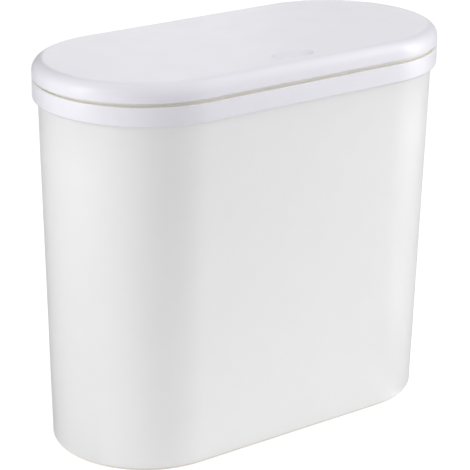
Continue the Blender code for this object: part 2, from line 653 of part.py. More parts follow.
def make_striker(material, hinge):
    """T-shaped striker: a plate under the lid, a stem and an arrow head for the claws."""
    shoulder = STRIKER_TIP + STRIKER_HEAD_HEIGHT
    widest = STRIKER_TIP + STRIKER_HEAD_HEIGHT / 2
    half = [(STRIKER_POINT_HALF, STRIKER_TIP), (STRIKER_HEAD_HALF, widest), (STRIKER_HEAD_HALF, shoulder),
            (STRIKER_STEM_HALF, shoulder), (STRIKER_STEM_HALF, STRIKER_PLATE_BOTTOM - STRIKER_ROOT),
            (STRIKER_STEM_HALF + STRIKER_ROOT, STRIKER_PLATE_BOTTOM),
            (STRIKER_PLATE_HALF, STRIKER_PLATE_BOTTOM), (STRIKER_PLATE_HALF, STRIKER_PLATE_TOP)]
    outline = half + [(-x, z) for x, z in reversed(half)]
    mesh = bmesh.new()
    add_front_prism(mesh, outline, LATCH_Y - STRIKER_DEPTH / 2, LATCH_Y + STRIKER_DEPTH / 2)
    holes = bmesh.new()
    for side in (-1, 1):
        add_turned(holes, (side * STRIKER_SCREW_X, LATCH_Y),
                   [(SCREW_RADIUS + SEAT_GAP, STRIKER_PLATE_BOTTOM - OVERRUN),
                    (SCREW_RADIUS + SEAT_GAP, STRIKER_PLATE_TOP + OVERRUN)])
    mesh = combine(mesh, holes, "DIFFERENCE")
    return make_object("striker", mesh, material, (0, HINGE_Y, HINGE_Z), hinge)


def add_screw(mesh, centre, head_top, length):
    """A pan-head screw standing head down, with its bearing face at head_top."""
    head_bottom = head_top - SCREW_HEAD_HEIGHT
    head_middle = head_top - SCREW_HEAD_HEIGHT / 2
    tip = head_top + length
    profile = [(SCREW_HEAD_RADIUS / 2, head_bottom), (SCREW_HEAD_RADIUS, head_middle),
               (SCREW_HEAD_RADIUS, head_top), (SCREW_RADIUS, head_top), (SCREW_RADIUS, tip - SCREW_POINT),
               (SCREW_RADIUS / 4, tip)]
    add_turned(mesh, centre, profile)


def make_striker_screw(side, side_name, material, hinge):
    """One of the two screws that hold the striker to the lid."""
    mesh = bmesh.new()
    bearing_z = STRIKER_PLATE_BOTTOM - SEAT_GAP
    add_screw(mesh, (side * STRIKER_SCREW_X, LATCH_Y), bearing_z, STRIKER_SCREW_LENGTH)
    return make_object("striker_screw_" + side_name, mesh, material, (0, HINGE_Y, HINGE_Z), hinge)


def make_latch_screw(side, side_name, material):
    """One of the two screws that hold the latch under the collar's shelf."""
    mesh = bmesh.new()
    add_screw(mesh, (side * EAR_SCREW_X, LATCH_Y), EAR_BOTTOM - SEAT_GAP, LATCH_SCREW_LENGTH)
    return make_object("latch_screw_" + side_name, mesh, material)


def make_latch_housing(material):
    """Open-backed housing with a narrow mouth that squeezes the claws shut, and two screw ears."""
    mesh = bmesh.new()
    ear_half = HOUSING_HALF + EAR_LENGTH
    outline = [(-HOUSING_HALF, HOUSING_BOTTOM), (HOUSING_HALF, HOUSING_BOTTOM), (HOUSING_HALF, HOUSING_TOP),
               (-HOUSING_HALF, HOUSING_TOP)]
    add_front_prism(mesh, outline, LATCH_Y + HOUSING_FRONT, LATCH_Y + HOUSING_BACK)
    ears = bmesh.new()
    add_box(ears, (-ear_half, LATCH_Y - EAR_DEPTH / 2, EAR_BOTTOM),
            (ear_half, LATCH_Y + EAR_DEPTH / 2, HOUSING_TOP))
    mesh = combine(mesh, ears, "UNION")
    cavity = bmesh.new()
    open_top = HOUSING_TOP + OVERRUN
    half = [(CAVITY_HALF, CAVITY_FLOOR), (CAVITY_HALF, MOUTH_BOTTOM), (LATCH_MOUTH_HALF, MOUTH_BOTTOM),
            (LATCH_MOUTH_HALF, open_top)]
    outline = half + [(-x, z) for x, z in reversed(half)]
    add_front_prism(cavity, outline, LATCH_Y + CAVITY_FRONT, LATCH_Y + HOUSING_BACK + OVERRUN)
    for side in (-1, 1):
        hole = SCREW_RADIUS + SEAT_GAP
        add_turned(cavity, (side * EAR_SCREW_X, LATCH_Y),
                   [(hole, EAR_BOTTOM - OVERRUN), (hole, HOUSING_TOP + OVERRUN)])
    mesh = combine(mesh, cavity, "DIFFERENCE")
    return make_object("latch_housing", mesh, material)


def make_latch_cover(material):
    """Back plate of the latch with the hole that the follower wire pivots in."""
    mesh = bmesh.new()
    add_box(mesh, (-HOUSING_HALF, LATCH_Y + COVER_FRONT, HOUSING_BOTTOM),
            (HOUSING_HALF, LATCH_Y + COVER_BACK, HOUSING_TOP))
    hole = bmesh.new()
    radius = FOLLOWER_WIRE / 2 + FOLLOWER_HOLE_CLEARANCE
    add_front_prism(hole, arc(0, PIVOT_Z, radius, 0, 360 - 360 / SMALL_SEGMENTS, SMALL_SEGMENTS - 1),
                    LATCH_Y + COVER_FRONT - OVERRUN, LATCH_Y + COVER_BACK + OVERRUN)
    return make_object("latch_cover", combine(mesh, hole, "DIFFERENCE"), material)


def track_outlines():
    """Outer edge and heart-shaped island of the track, as (x, z) points about the cleft.

    The follower starts at the foot, climbs the right lane as the slider is pushed down, rests in
    the cleft, and leaves by the left lane after the next push.
    """
    lane = TRACK_LANE
    half = TRACK_HALF
    top = LATCH_PRESS + half
    foot = -LATCH_STROKE - half
    tooth = FOLLOWER_WIRE / 2 + SEAT_GAP + half / 2
    outer = [(-half, foot), (half, foot), (lane + half, -LATCH_STROKE / 2), (lane + half, LATCH_PRESS / 2),
             (lane - half, top), (half, top), (0, tooth), (-half, top), (-lane + half, top),
             (-lane - half, LATCH_PRESS / 2), (-lane - half, -LATCH_STROKE / 2)]
    dip = -FOLLOWER_WIRE / 2 - SEAT_GAP
    shoulder = half + FOLLOWER_WIRE / 4
    island = [(0, -LATCH_STROKE + 2 * half), (lane - half, -LATCH_STROKE / 2 + half / 2),
              (lane - half, 0), (shoulder + half / 2, half / 2), (half / 2, dip),
              (-half / 2, dip), (-shoulder - half / 2, half / 2), (-lane + half, 0),
              (-lane + half, -LATCH_STROKE / 2 + half / 2)]
    return outer, island


def make_latch_slider(material):
    """Slider with the heart track in its back and the spring's bore in its underside."""
    mesh = bmesh.new()
    add_box(mesh, (-SLIDER_WIDTH / 2, LATCH_Y - SLIDER_FRONT, SLIDER_BOTTOM),
            (SLIDER_WIDTH / 2, LATCH_Y + SLIDER_BACK, SLIDER_TOP))
    outer, island = track_outlines()
    groove_bottom = LATCH_Y + SLIDER_BACK - TRACK_DEPTH
    groove = bmesh.new()
    add_front_prism(groove, [(x, TRACK_CLEFT_Z + z) for x, z in outer],
                    groove_bottom, LATCH_Y + SLIDER_BACK + OVERRUN)
    post = bmesh.new()
    add_front_prism(post, [(x, TRACK_CLEFT_Z + z) for x, z in island],
                    groove_bottom - OVERRUN, LATCH_Y + SLIDER_BACK + 2 * OVERRUN)
    mesh = combine(mesh, combine(groove, post, "DIFFERENCE"), "DIFFERENCE")
    bore = bmesh.new()
    add_turned(bore, (0, LATCH_Y + LATCH_SPRING_BACK),
               [(LATCH_SPRING_BORE, SLIDER_BOTTOM - OVERRUN),
                (LATCH_SPRING_BORE, SLIDER_BOTTOM + LATCH_SPRING_BORE_DEPTH)], ROUND_SEGMENTS)
    mesh = combine(mesh, bore, "DIFFERENCE")
    return make_object("latch_slider", mesh, material, (0, LATCH_Y, SLIDER_BOTTOM))


def make_latch_claws(material):
    """One flexible moulding with two hooked arms that hold the striker's head."""
    hook_top = CLAW_HOOK_Z + CLAW_HOOK_HEIGHT
    hook_inner = STRIKER_STEM_HALF + CLAW_HOOK_GAP
    half = [(CLAW_OUTER, CLAW_BOTTOM), (CLAW_OUTER, CLAW_HOOK_Z + CLAW_HOOK_HEIGHT / 2),
            (CLAW_INNER, hook_top), (hook_inner, CLAW_HOOK_Z + CLAW_HOOK_HEIGHT / 3),
            (hook_inner, CLAW_HOOK_Z), (CLAW_INNER, CLAW_HOOK_Z), (CLAW_INNER, CLAW_BOTTOM + CLAW_BASE)]
    outline = half + [(-x, z) for x, z in reversed(half)]
    mesh = bmesh.new()
    add_front_prism(mesh, outline, LATCH_Y - CLAW_DEPTH / 2, LATCH_Y + CLAW_DEPTH / 2)
    return make_object("latch_claws", mesh, material, (0, LATCH_Y, SLIDER_BOTTOM))


def make_latch_spring(material):
    """Compression spring between the housing's floor and the slider."""
    start_z = CAVITY_FLOOR + SEAT_GAP
    end_z = SLIDER_BOTTOM + LATCH_SPRING_BORE_DEPTH - SEAT_GAP
    centre = Vector((0, LATCH_Y + LATCH_SPRING_BACK, 0))
    low = start_z + LATCH_SPRING_WIRE
    high = end_z - LATCH_SPRING_WIRE
    steps = LATCH_SPRING_TURNS * CURL_POINTS
    points = [centre + Vector((LATCH_SPRING_RADIUS, 0, start_z))]
    for i in range(steps + 1):
        angle = 2 * math.pi * i / CURL_POINTS
        place = Vector((LATCH_SPRING_RADIUS * math.cos(angle), LATCH_SPRING_RADIUS * math.sin(angle), 0))
        points.append(centre + place + Vector((0, 0, low + (high - low) * i / steps)))
    points.append(centre + Vector((LATCH_SPRING_RADIUS, 0, end_z)))
    print_least_gap("latch_spring", points, LATCH_SPRING_WIRE)
    return make_wire("latch_spring", points, LATCH_SPRING_WIRE, material)


def rounded_corner(before, corner, after, radius):
    """Three points that round one corner of a wire."""
    first = corner + (before - corner).normalized() * radius
    last = corner + (after - corner).normalized() * radius
    middle = (first + last + 2 * corner) / 4
    return [first, middle, last]


def make_cam_follower(material):
    """Wire that pivots in the cover and whose bent end lies in the cleft of the heart track."""
    pivot_end = Vector((0, LATCH_Y + COVER_BACK - SEAT_GAP, PIVOT_Z))
    low_corner = Vector((0, LATCH_Y + WIRE_PLANE, PIVOT_Z))
    high_corner = Vector((0, LATCH_Y + WIRE_PLANE, TRACK_CLEFT_Z))
    track_end = Vector((0, LATCH_Y + SLIDER_BACK - TRACK_DEPTH + SEAT_GAP, TRACK_CLEFT_Z))
    points = [pivot_end, *rounded_corner(pivot_end, low_corner, high_corner, FOLLOWER_BEND),
              *rounded_corner(low_corner, high_corner, track_end, FOLLOWER_BEND), track_end]
    return make_wire("cam_follower", points, FOLLOWER_WIRE, material, bevel_resolution=2)


def make_hinge_pin(side, side_name, material):
    """Steel pin pushed in from the rail's end through the lid's knuckle."""
    mesh = bmesh.new()
    ends = sorted((side * PIN_START, side * PIN_END))
    add_rod(mesh, PIN_RADIUS, ends[0], ends[1])
    return make_object("hinge_pin_" + side_name, mesh, material, (0, HINGE_Y, HINGE_Z))


def make_torsion_spring(side, side_name, material):
    """Torsion spring round the pin, one leg on the collar and one under the lid."""
    radius = HINGE_SPRING_RADIUS
    turns = HINGE_SPRING_TURNS + 0.5
    steps = round(turns * CURL_POINTS * 2)
    start_x = HINGE_SPRING_X
    points = [Vector((side * start_x, HINGE_Y - HINGE_SPRING_LEG, HINGE_Z - radius))]
    for i in range(0, steps + 1, 2):
        angle = math.radians(-90 + 360 * turns * i / steps)
        x = side * (start_x + HINGE_SPRING_PITCH * turns * i / steps)
        points.append(Vector((x, HINGE_Y + radius * math.cos(angle), HINGE_Z + radius * math.sin(angle))))
    end_x = side * (start_x + HINGE_SPRING_PITCH * turns)
    if steps % 2:
        points.append(Vector((end_x, HINGE_Y, HINGE_Z + radius)))
    points.append(Vector((end_x, HINGE_Y - HINGE_SPRING_LEG, HINGE_Z + radius)))
    name = "torsion_spring_" + side_name
    print_least_gap(name, points, HINGE_SPRING_WIRE)
    return make_wire(name, points, HINGE_SPRING_WIRE, material)


def make_bumper(name, centre, material):
    """Round rubber pad in a pocket of the collar's deck."""
    top = arc(BUMPER_RADIUS - BUMPER_ROUND, BUMPER_TOP - BUMPER_ROUND, BUMPER_ROUND, 0, 90, EDGE_STEPS)
    mesh = bmesh.new()
    add_turned(mesh, centre, [(BUMPER_RADIUS, BUMPER_BOTTOM), *top], ROUND_SEGMENTS)
    return make_object(name, mesh, material)


def build():
    for item in list(bpy.data.objects):
        bpy.data.objects.remove(item)

    bucket_white = make_material("white polypropylene, satin", "#E9EAEB", 0.38)
    lid_white = make_material("white ABS, semi-gloss", "#E6E7EA", 0.28)
    acetal = make_material("natural acetal", "#EDEBE2", 0.35)
    latch_grey = make_material("grey ABS", "#9FA2A6", 0.45)
    steel = make_material("spring steel wire", "#B9BCC0", 0.3, 1.0)
    zinc = make_material("zinc-plated steel", "#C6C9CC", 0.35, 1.0)
    rubber = make_material("translucent grey rubber", "#C9CBCC", 0.55)

    hinge = bpy.data.objects.new("lid_hinge_axis", None)
    bpy.context.scene.collection.objects.link(hinge)
    hinge.location = (0, HINGE_Y, HINGE_Z)
    hinge.rotation_euler = (-LID_REST_TILT, 0, 0)

    make_bucket(bucket_white)
    make_collar(lid_white)
    make_lid_shell(lid_white, hinge)
    make_striker(acetal, hinge)
    make_latch_housing(latch_grey)
    make_latch_cover(latch_grey)
    make_latch_slider(acetal)
    make_latch_claws(acetal)
    make_latch_spring(steel)
    make_cam_follower(steel)
    for side, side_name in ((-1, "left"), (1, "right")):
        make_hinge_pin(side, side_name, steel)
        make_torsion_spring(side, side_name, steel)
        make_latch_screw(side, side_name, zinc)
        make_striker_screw(side, side_name, zinc, hinge)
    for number, centre in enumerate(bumper_places(), start=1):
        make_bumper(f"lid_bumper_{number}", centre, rubber)


build()
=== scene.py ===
"""Looks of the slim bathroom bin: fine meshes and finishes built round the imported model.

The bin stands on z = 0, its long side lies along X, its front faces -Y and its hinge is at +Y.
Every plan outline is a stadium, two half circles joined by straight sides, so a (radius, height)
pair stands for a whole ring. The lid's pieces are drawn pressed flat and then turned up about the
hinge's axis to where the latch holds them.
"""

import json
import math

import bmesh
import bpy
from mathutils import Matrix, Vector


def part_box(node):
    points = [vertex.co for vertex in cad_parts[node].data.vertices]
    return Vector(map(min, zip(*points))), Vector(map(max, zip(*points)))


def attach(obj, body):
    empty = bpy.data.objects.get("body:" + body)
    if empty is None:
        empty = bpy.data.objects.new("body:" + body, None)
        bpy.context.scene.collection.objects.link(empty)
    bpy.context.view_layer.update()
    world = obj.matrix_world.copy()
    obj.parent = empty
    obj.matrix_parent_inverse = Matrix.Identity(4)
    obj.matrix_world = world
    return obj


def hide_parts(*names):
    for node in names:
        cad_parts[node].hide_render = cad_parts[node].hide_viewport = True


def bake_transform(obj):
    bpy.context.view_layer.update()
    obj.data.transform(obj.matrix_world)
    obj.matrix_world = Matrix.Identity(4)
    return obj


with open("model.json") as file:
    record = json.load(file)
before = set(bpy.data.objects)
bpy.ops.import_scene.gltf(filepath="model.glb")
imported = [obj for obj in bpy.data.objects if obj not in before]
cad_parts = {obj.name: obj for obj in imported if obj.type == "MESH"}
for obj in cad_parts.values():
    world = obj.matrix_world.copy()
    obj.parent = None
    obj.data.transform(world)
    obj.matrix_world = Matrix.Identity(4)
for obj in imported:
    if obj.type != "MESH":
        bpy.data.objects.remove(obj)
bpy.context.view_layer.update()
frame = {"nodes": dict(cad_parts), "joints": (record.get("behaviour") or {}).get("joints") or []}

# Facets of the fine meshes
END_SEGMENTS = 64
STRAIGHT_SEGMENTS = 44
ROUND_SEGMENTS = 48
SMALL_SEGMENTS = 32
EDGE_STEPS = 6
FILLET_STEPS = 16
CROWN_RINGS = 26
WALL_RINGS = 6
DIMPLE_CUTS = 5
CURL_POINTS = 24
WIRE_RESOLUTION = 5

# Clearances and overlaps
SEAT_GAP = 0.0003
RUNNING_GAP = 0.0004
PIN_CLEARANCE = 0.0001
SCREW_CLEARANCE = 0.0002
OVERRUN = 0.001
WELD_DISTANCE = 0.000001

# Collar
COLLAR_HEIGHT = 0.013
COLLAR_DECK = 0.0022
COLLAR_SKIRT_WALL = 0.0028
COLLAR_SKIRT_ROUND = 0.0014
COLLAR_TOP_ROUND = 0.0008
COLLAR_DECK_WIDTH = 0.013
BAG_SKIRT_WALL = 0.002
BAG_SKIRT_DROP = 0.016
BAG_GAP = 0.0006
BAG_SKIRT_ROUND = 0.0006
UPSTAND_HEIGHT = 0.0032
UPSTAND_WALL = 0.0014
UPSTAND_CLEARANCE = 0.0005
UPSTAND_BEFORE_HINGE = 0.030
UPSTAND_ROUND = 0.0004

# Bucket
BUCKET_TAPER = 0.006
BUCKET_WALL = 0.0022
BUCKET_FLOOR = 0.0025
BUCKET_EDGE_ROUND = 0.002
BUCKET_INNER_ROUND = 0.007
FOOT_RECESS = 0.0015
FOOT_WIDTH = 0.008
FOOT_ROUND = 0.0005
RIM_HEIGHT = 0.0040
RIM_PROUD = 0.0003
RIM_INSIDE = 0.0008
RIM_ROUND = 0.0006
GATE_MARK_RADIUS = 0.0022
GATE_MARK_HEIGHT = 0.0007
GATE_MARK_ROUND = 0.0003

# Lid shell
LID_PROUD = 0.0001
LID_WALL = 0.0022
LID_HEIGHT = 0.012
LID_FILLET = 0.0085
LID_EDGE_ROUND = 0.0004
LID_CROWN = 0.0012
LID_SPINE_RADIUS = 0.0008
LID_RIB_SHARES = (0.28, 0.69)
LID_RIB_WALL = 0.0014
LID_RIB_DROP = 0.0036
LID_RIB_END_GAP = 0.004
LID_POST_RADIUS = 0.0022

# Press spot on the lid
DIMPLE_LENGTH = 0.032
DIMPLE_WIDTH = 0.017
DIMPLE_DEPTH = 0.0017
DIMPLE_FROM_FRONT = 0.0175
DIMPLE_END_SHARE = 0.26
DIMPLE_LIP_SHARE = 0.10
SKIN_MARGIN = 0.00055

# Hinge
RAIL_RADIUS = 0.0033
RAIL_INSET = 0.0002
RAIL_END_OVERHANG = 0.011
RAIL_DEPTH_IN_DECK = 0.001
KNUCKLE_RADIUS = 0.0030
KNUCKLE_CLEARANCE = 0.0005
KNUCKLE_FROM_RAIL_END = 0.028
KNUCKLE_WIDTH = 0.0092
PIN_RADIUS = 0.00125
PIN_CHAMFER = 0.0003
PIN_GRIP = 0.0075
LID_TRIM_RISE = 0.0039
LID_TRIM_LEAD = 0.0005
HINGE_SPRING_WIRE = 0.0007
HINGE_SPRING_RADIUS = 0.0019
HINGE_SPRING_PITCH = 0.0012
HINGE_SPRING_TURNS = 5.5
HINGE_SPRING_LENGTH = HINGE_SPRING_PITCH * HINGE_SPRING_TURNS
HINGE_SPRING_LEG = 0.008
SPRING_SEAT_WIDTH = 0.0024
SPRING_SEAT_LENGTH = 0.004

# Latch
LATCH_INSET = 0.004
HOUSING_HALF = 0.0105
EAR_LENGTH = 0.009
EAR_THICKNESS = 0.002
SHELF_HALF_LENGTH = 0.0215
SHELF_BACK = 0.0097
WINDOW_HALF_LENGTH = 0.0065
WINDOW_HALF_DEPTH = 0.0045
LATCH_BOSS_RADIUS = 0.0032
LATCH_BOSS_HEIGHT = 0.0047
LATCH_BOSS_ROUND = LATCH_BOSS_RADIUS / 5
LATCH_BOSS_CAP = LATCH_BOSS_RADIUS / 2
LATCH_SPRING_WIRE = 0.0006
LATCH_SPRING_RADIUS = 0.0021
LATCH_SPRING_TURNS = 5
LATCH_SPRING_BACK = -0.0004
FOLLOWER_WIRE = 0.0010
FOLLOWER_BEND = 0.0009
FOLLOWER_BEND_POINTS = 7

# Striker and screws
STRIKER_PLATE = 0.002
STRIKER_PLATE_DROP = 0.0019
STRIKER_SCREW_X = 0.0095
LID_BOSS_RADIUS = 0.0030
SCREW_CORE_RADIUS = 0.00095
SCREW_RADIUS = 0.00125
SCREW_HEAD_RADIUS = 0.0025
SCREW_HEAD_HEIGHT = 0.0015
SCREW_HEAD_ROUND = SCREW_HEAD_HEIGHT * 0.7
SCREW_TIP_RADIUS = SCREW_CORE_RADIUS / 6
SCREW_POINT = 0.0012
SCREW_PITCH = 0.0008
SCREW_TURN_STEPS = 8
SCREW_SLOT_HALF_LENGTH = 0.0013
SCREW_SLOT_HALF_WIDTH = 0.0003
SCREW_SLOT_DEPTH = 0.0009
LATCH_SCREW_LENGTH = 0.0078
STRIKER_SCREW_LENGTH = 0.0042
SCREW_TIP_ROOM = 0.0004

# Rubber bumpers
BUMPER_RADIUS = 0.0028
BUMPER_HEIGHT = 0.0017
BUMPER_ROUND = 0.0005
BUMPER_CHAMFER = BUMPER_ROUND / 3
BUMPER_POCKET = 0.0006
BUMPER_INSET = 0.0090
BUMPER_FROM_END_CENTRE = 0.015
BUMPER_END_ANGLE = math.radians(20)

# Softened edges of the moulded latch pieces
SOFT_EDGE = 0.00015
SOFT_EDGE_SEGMENTS = 2
FLAT_ANGLE = math.radians(1)
EDGE_ANGLE = math.radians(35)
SMOOTH_ANGLE = math.radians(32)

# Wear: edges rounded to about this radius are rubbed, from the given share of its bend on
EDGE_ATTRIBUTE = "edge_bend"
WORN_RADIUS = 0.0012
WORN_FROM = 0.4

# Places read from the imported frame
HINGE_JOINT = next(joint for joint in frame["joints"] if joint["name"] == "lid_hinge")
HINGE_Y = HINGE_JOINT["pos_m"][1]
HINGE_Z = HINGE_JOINT["pos_m"][2]
LID_REST_TILT = -math.radians(HINGE_JOINT["range_deg"][0])
COLLAR_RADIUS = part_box("collar")[1].y
COLLAR_HALF_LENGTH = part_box("collar")[1].x
BUCKET_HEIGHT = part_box("bucket")[1].z
RIM_OUTER_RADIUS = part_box("bucket")[1].y

# Plan of the bin
END_CENTRE = COLLAR_HALF_LENGTH - COLLAR_RADIUS
SKIRT_INNER_RADIUS = COLLAR_RADIUS - COLLAR_SKIRT_WALL
THROAT_RADIUS = COLLAR_RADIUS - COLLAR_DECK_WIDTH
BUCKET_TOP_RADIUS = RIM_OUTER_RADIUS - RIM_PROUD
BUCKET_BASE_RADIUS = BUCKET_TOP_RADIUS - BUCKET_TAPER
RIM_INNER_RADIUS = BUCKET_TOP_RADIUS - BUCKET_WALL - RIM_INSIDE
BAG_SKIRT_RADIUS = RIM_INNER_RADIUS - BAG_GAP
LID_RADIUS = COLLAR_RADIUS + LID_PROUD
LID_FILLET_RADIUS = LID_RADIUS - LID_FILLET
DIMPLE_Y = DIMPLE_FROM_FRONT - LID_RADIUS

# Heights of the bin
DECK_UNDERSIDE = BUCKET_HEIGHT + SEAT_GAP
COLLAR_TOP = DECK_UNDERSIDE + COLLAR_DECK
COLLAR_BOTTOM = COLLAR_TOP - COLLAR_HEIGHT
LID_BOTTOM = COLLAR_TOP + SEAT_GAP
LID_EDGE_TOP = LID_BOTTOM + LID_HEIGHT
LID_FILLET_Z = LID_EDGE_TOP - LID_FILLET
CEILING_EDGE = LID_EDGE_TOP - LID_WALL
LID_ROOT_Z = CEILING_EDGE + LID_WALL / 2

# Hinge and latch lines
LATCH_Y = LATCH_INSET - THROAT_RADIUS
RAIL_HALF_LENGTH = END_CENTRE + RAIL_END_OVERHANG
KNUCKLE_X = RAIL_HALF_LENGTH - KNUCKLE_FROM_RAIL_END
KNUCKLE_END = KNUCKLE_X + KNUCKLE_WIDTH
PIN_BORE = PIN_RADIUS + PIN_CLEARANCE
SCREW_HOLE = SCREW_RADIUS + SCREW_CLEARANCE
SPRING_CLEAR = HINGE_SPRING_RADIUS + HINGE_SPRING_WIRE / 2 + SEAT_GAP
SLOT_START = KNUCKLE_X - RUNNING_GAP
SLOT_END = KNUCKLE_END + HINGE_SPRING_LENGTH + HINGE_SPRING_WIRE + 2 * RUNNING_GAP
HINGE_SPRING_X = KNUCKLE_END + RUNNING_GAP + HINGE_SPRING_WIRE / 2
PIN_START = SLOT_START - PIN_GRIP
PIN_END = RAIL_HALF_LENGTH - SEAT_GAP
EAR_SCREW_X = HOUSING_HALF + EAR_LENGTH / 2
EAR_BOTTOM = DECK_UNDERSIDE - SEAT_GAP - EAR_THICKNESS
STRIKER_PLATE_TOP = CEILING_EDGE - STRIKER_PLATE_DROP
STRIKER_PLATE_BOTTOM = STRIKER_PLATE_TOP - STRIKER_PLATE
BUMPER_BOTTOM = COLLAR_TOP - BUMPER_POCKET + SEAT_GAP
BUMPER_TOP = BUMPER_BOTTOM + BUMPER_HEIGHT

# Turn of the lid's pieces from the pressed position to rest
HINGE_POINT = Vector((0, HINGE_Y, HINGE_Z))
LID_TURN = (Matrix.Translation(HINGE_POINT) @ Matrix.Rotation(-LID_REST_TILT, 4, "X")
            @ Matrix.Translation(-HINGE_POINT))

# Camera, from the edges of the bin in the photograph
PHOTO_PIXELS = 470
CAMERA_AZIMUTH = math.radians(-36.90)
CAMERA_ELEVATION = math.radians(19.47)
CAMERA_DISTANCE = 1.3878
CAMERA_TARGET = Vector((0, 0, 0.15))
CAMERA_ROLL = math.radians(0.69)
CAMERA_FOCAL_PIXELS = 2031.7
CAMERA_CENTRE_PIXELS = (239.05, 200.86)
SENSOR_MM = 36

# Studio. Softboxes: azimuth, elevation, distance, width, height and watts. Upright cards: azimuth,
# distance, width and height. Floor cards: x, y, turn, width, length, and whether they darken the
# bin by themselves or only where its gloss shows them.
FLOOR_HALF = 4
FLOOR_CELLS = 8
FLOOR_LIFT = 0.45
FILL_COLOUR = "#F9F9FB"
WHITE = "#FFFFFF"
WORLD_FILL = 0.70
SOFTBOXES = {"left softbox": (-100, 15, 1.4, 0.4, 1.2, 7.4),
             "right softbox": (58, 15, 1.4, 0.3, 1.2, 9.2),
             "high softbox": (75, 45, 1.6, 0.8, 0.8, 3.5),
             "back softbox": (150, 15, 1.4, 0.4, 1.2, 0.5)}
CARDS = {"left dark card": (190, 1.0, 1.1, 1.3), "right dark card": (103, 1.0, 0.8, 1.3)}
CARD_LIFT = 0.002
FLOOR_CARDS = {"front floor card": (0, -0.95, 0, 0.9, 0.9, True),
               "right floor card": (0.56, 0.22, 30, 0.8, 0.7, False),
               "right foot card": (0.25, 0.04, 30, 0.36, 0.24, False),
               "back floor card": (-0.25, 0.47, 0, 0.7, 1.0, False)}

# Finishes of the moulded plastics: widths of their patterns in mm, the part of each pattern's range
# that is used, and how far rubbing dulls an edge
CLOUD_MM = 22
SWELL_MM = 38
SWELL_DEPTH = 0.00008
SCUFF_MM = 3.5
SCUFF_RANGE = (0.42, 0.66)
RUB_RANGE = (0.0, 0.5)
RUB_DULLS = 0.12
TINT_CLOUDS = (0.3, 0.7)
TINT_RANGE = (0.0, 0.10)
GLOSS_CLOUDS = (0.25, 0.75)
GLOSS_BELOW = 0.03
GLOSS_ABOVE = 0.04
# Painted light and shade in crevices: how far the occlusion looks, its samples, and the openness at
# which the painted crevice colour starts and where it is full
PAINTED_CREVICE_REACH = 0.005
PAINTED_CREVICE_SAMPLES = 8
PAINTED_CREVICE_OPENNESS = (0.8, 0.1)
PLASTIC_IOR = 1.5

# The sRGB curve
CURVE_TOE = 0.04045
CURVE_SLOPE = 12.92
CURVE_OFFSET = 0.055
CURVE_POWER = 2.4


def arc(centre_r, centre_z, radius, start_degrees, end_degrees, steps):
    """Points of an arc in a (radius, height) profile, both ends included."""
    points = []
    for i in range(steps + 1):
        angle = math.radians(start_degrees + (end_degrees - start_degrees) * i / steps)
        points.append((centre_r + radius * math.cos(angle), centre_z + radius * math.sin(angle)))
    return points


def round_corner(r, z, radius, start_degrees, steps=EDGE_STEPS):
    """Quarter arc that rounds the corner (r, z) of a profile drawn counter-clockwise."""
    middle = math.radians(start_degrees + 45)
    centre_r = r - math.copysign(radius, math.cos(middle))
    centre_z = z - math.copysign(radius, math.sin(middle))
    return arc(centre_r, centre_z, radius, start_degrees, start_degrees + 90, steps)


def straight_run(start, end, steps):
    """Points between two profile points, both ends left out."""
    return [(start[0] + (end[0] - start[0]) * i / steps,
             start[1] + (end[1] - start[1]) * i / steps) for i in range(1, steps)]


def stadium_loop(radius, z):
    """One stadium outline at height z, counter-clockwise from the right end's front."""
    loop = []
    for centre_x, first in ((END_CENTRE, -90), (-END_CENTRE, 90)):
        for i in range(END_SEGMENTS + 1):
            angle = math.radians(first + 180 * i / END_SEGMENTS)
            loop.append(Vector((centre_x + radius * math.cos(angle), radius * math.sin(angle), z)))
        corner = loop[-1]
        for i in range(1, STRAIGHT_SEGMENTS):
            loop.append(Vector((corner.x - 2 * centre_x * i / STRAIGHT_SEGMENTS, corner.y, z)))
    return loop


def around(centre, radius, angle, z):
    """A point at height z and at an angle round a vertical axis through centre."""
    return Vector((centre[0] + radius * math.cos(angle), centre[1] + radius * math.sin(angle), z))


def circle_loop(centre, radius, z, segments):
    """One horizontal circle round a vertical axis through centre."""
    return [around(centre, radius, 2 * math.pi * i / segments, z) for i in range(segments)]


def skin_loops(mesh, loops, closed=False):
    """Join loops of equal length with quads, and cap the two ends unless the stack is closed."""
    rows = [[mesh.verts.new(point) for point in loop] for loop in loops]
    pairs = list(zip(rows, rows[1:]))
    if closed:
        pairs.append((rows[-1], rows[0]))
    for low, high in pairs:
        for i in range(len(low)):
            j = (i + 1) % len(low)
            mesh.faces.new((low[i], low[j], high[j], high[i]))
    if not closed:
        mesh.faces.new(rows[0])
        mesh.faces.new(rows[-1])


def add_stadium_stack(mesh, profile, closed=False):
    """A stadium body from its (radius, height) profile."""
    skin_loops(mesh, [stadium_loop(radius, z) for radius, z in profile], closed)


def add_turned(mesh, centre, profile, segments=SMALL_SEGMENTS):
    """A round body about a vertical axis from its (radius, height) profile."""
    skin_loops(mesh, [circle_loop(centre, radius, z, segments) for radius, z in profile])


def add_column(mesh, centre, radius, low, high, segments=SMALL_SEGMENTS):
    """A plain upright cylinder."""
    add_turned(mesh, centre, [(radius, low), (radius, high)], segments)


def add_box(mesh, low, high):
    """A box between two corners."""
    outline = [(low[0], low[1]), (high[0], low[1]), (high[0], high[1]), (low[0], high[1])]
    skin_loops(mesh, [[Vector((x, y, z)) for x, y in outline] for z in (low[2], high[2])])


def add_rod(mesh, profile):
    """A round rod along X about the hinge's axis, from its (x, radius) profile."""
    angles = [2 * math.pi * (i + 0.5) / SMALL_SEGMENTS for i in range(SMALL_SEGMENTS)]
    skin_loops(mesh, [[Vector((x, HINGE_Y + radius * math.cos(a), HINGE_Z + radius * math.sin(a)))
                       for a in angles] for x, radius in profile])


def add_side_prism(mesh, outline, start_x, end_x):
    """A prism along X from an outline of (y, z) points."""
    skin_loops(mesh, [[Vector((x, y, z)) for y, z in outline] for x in (start_x, end_x)])


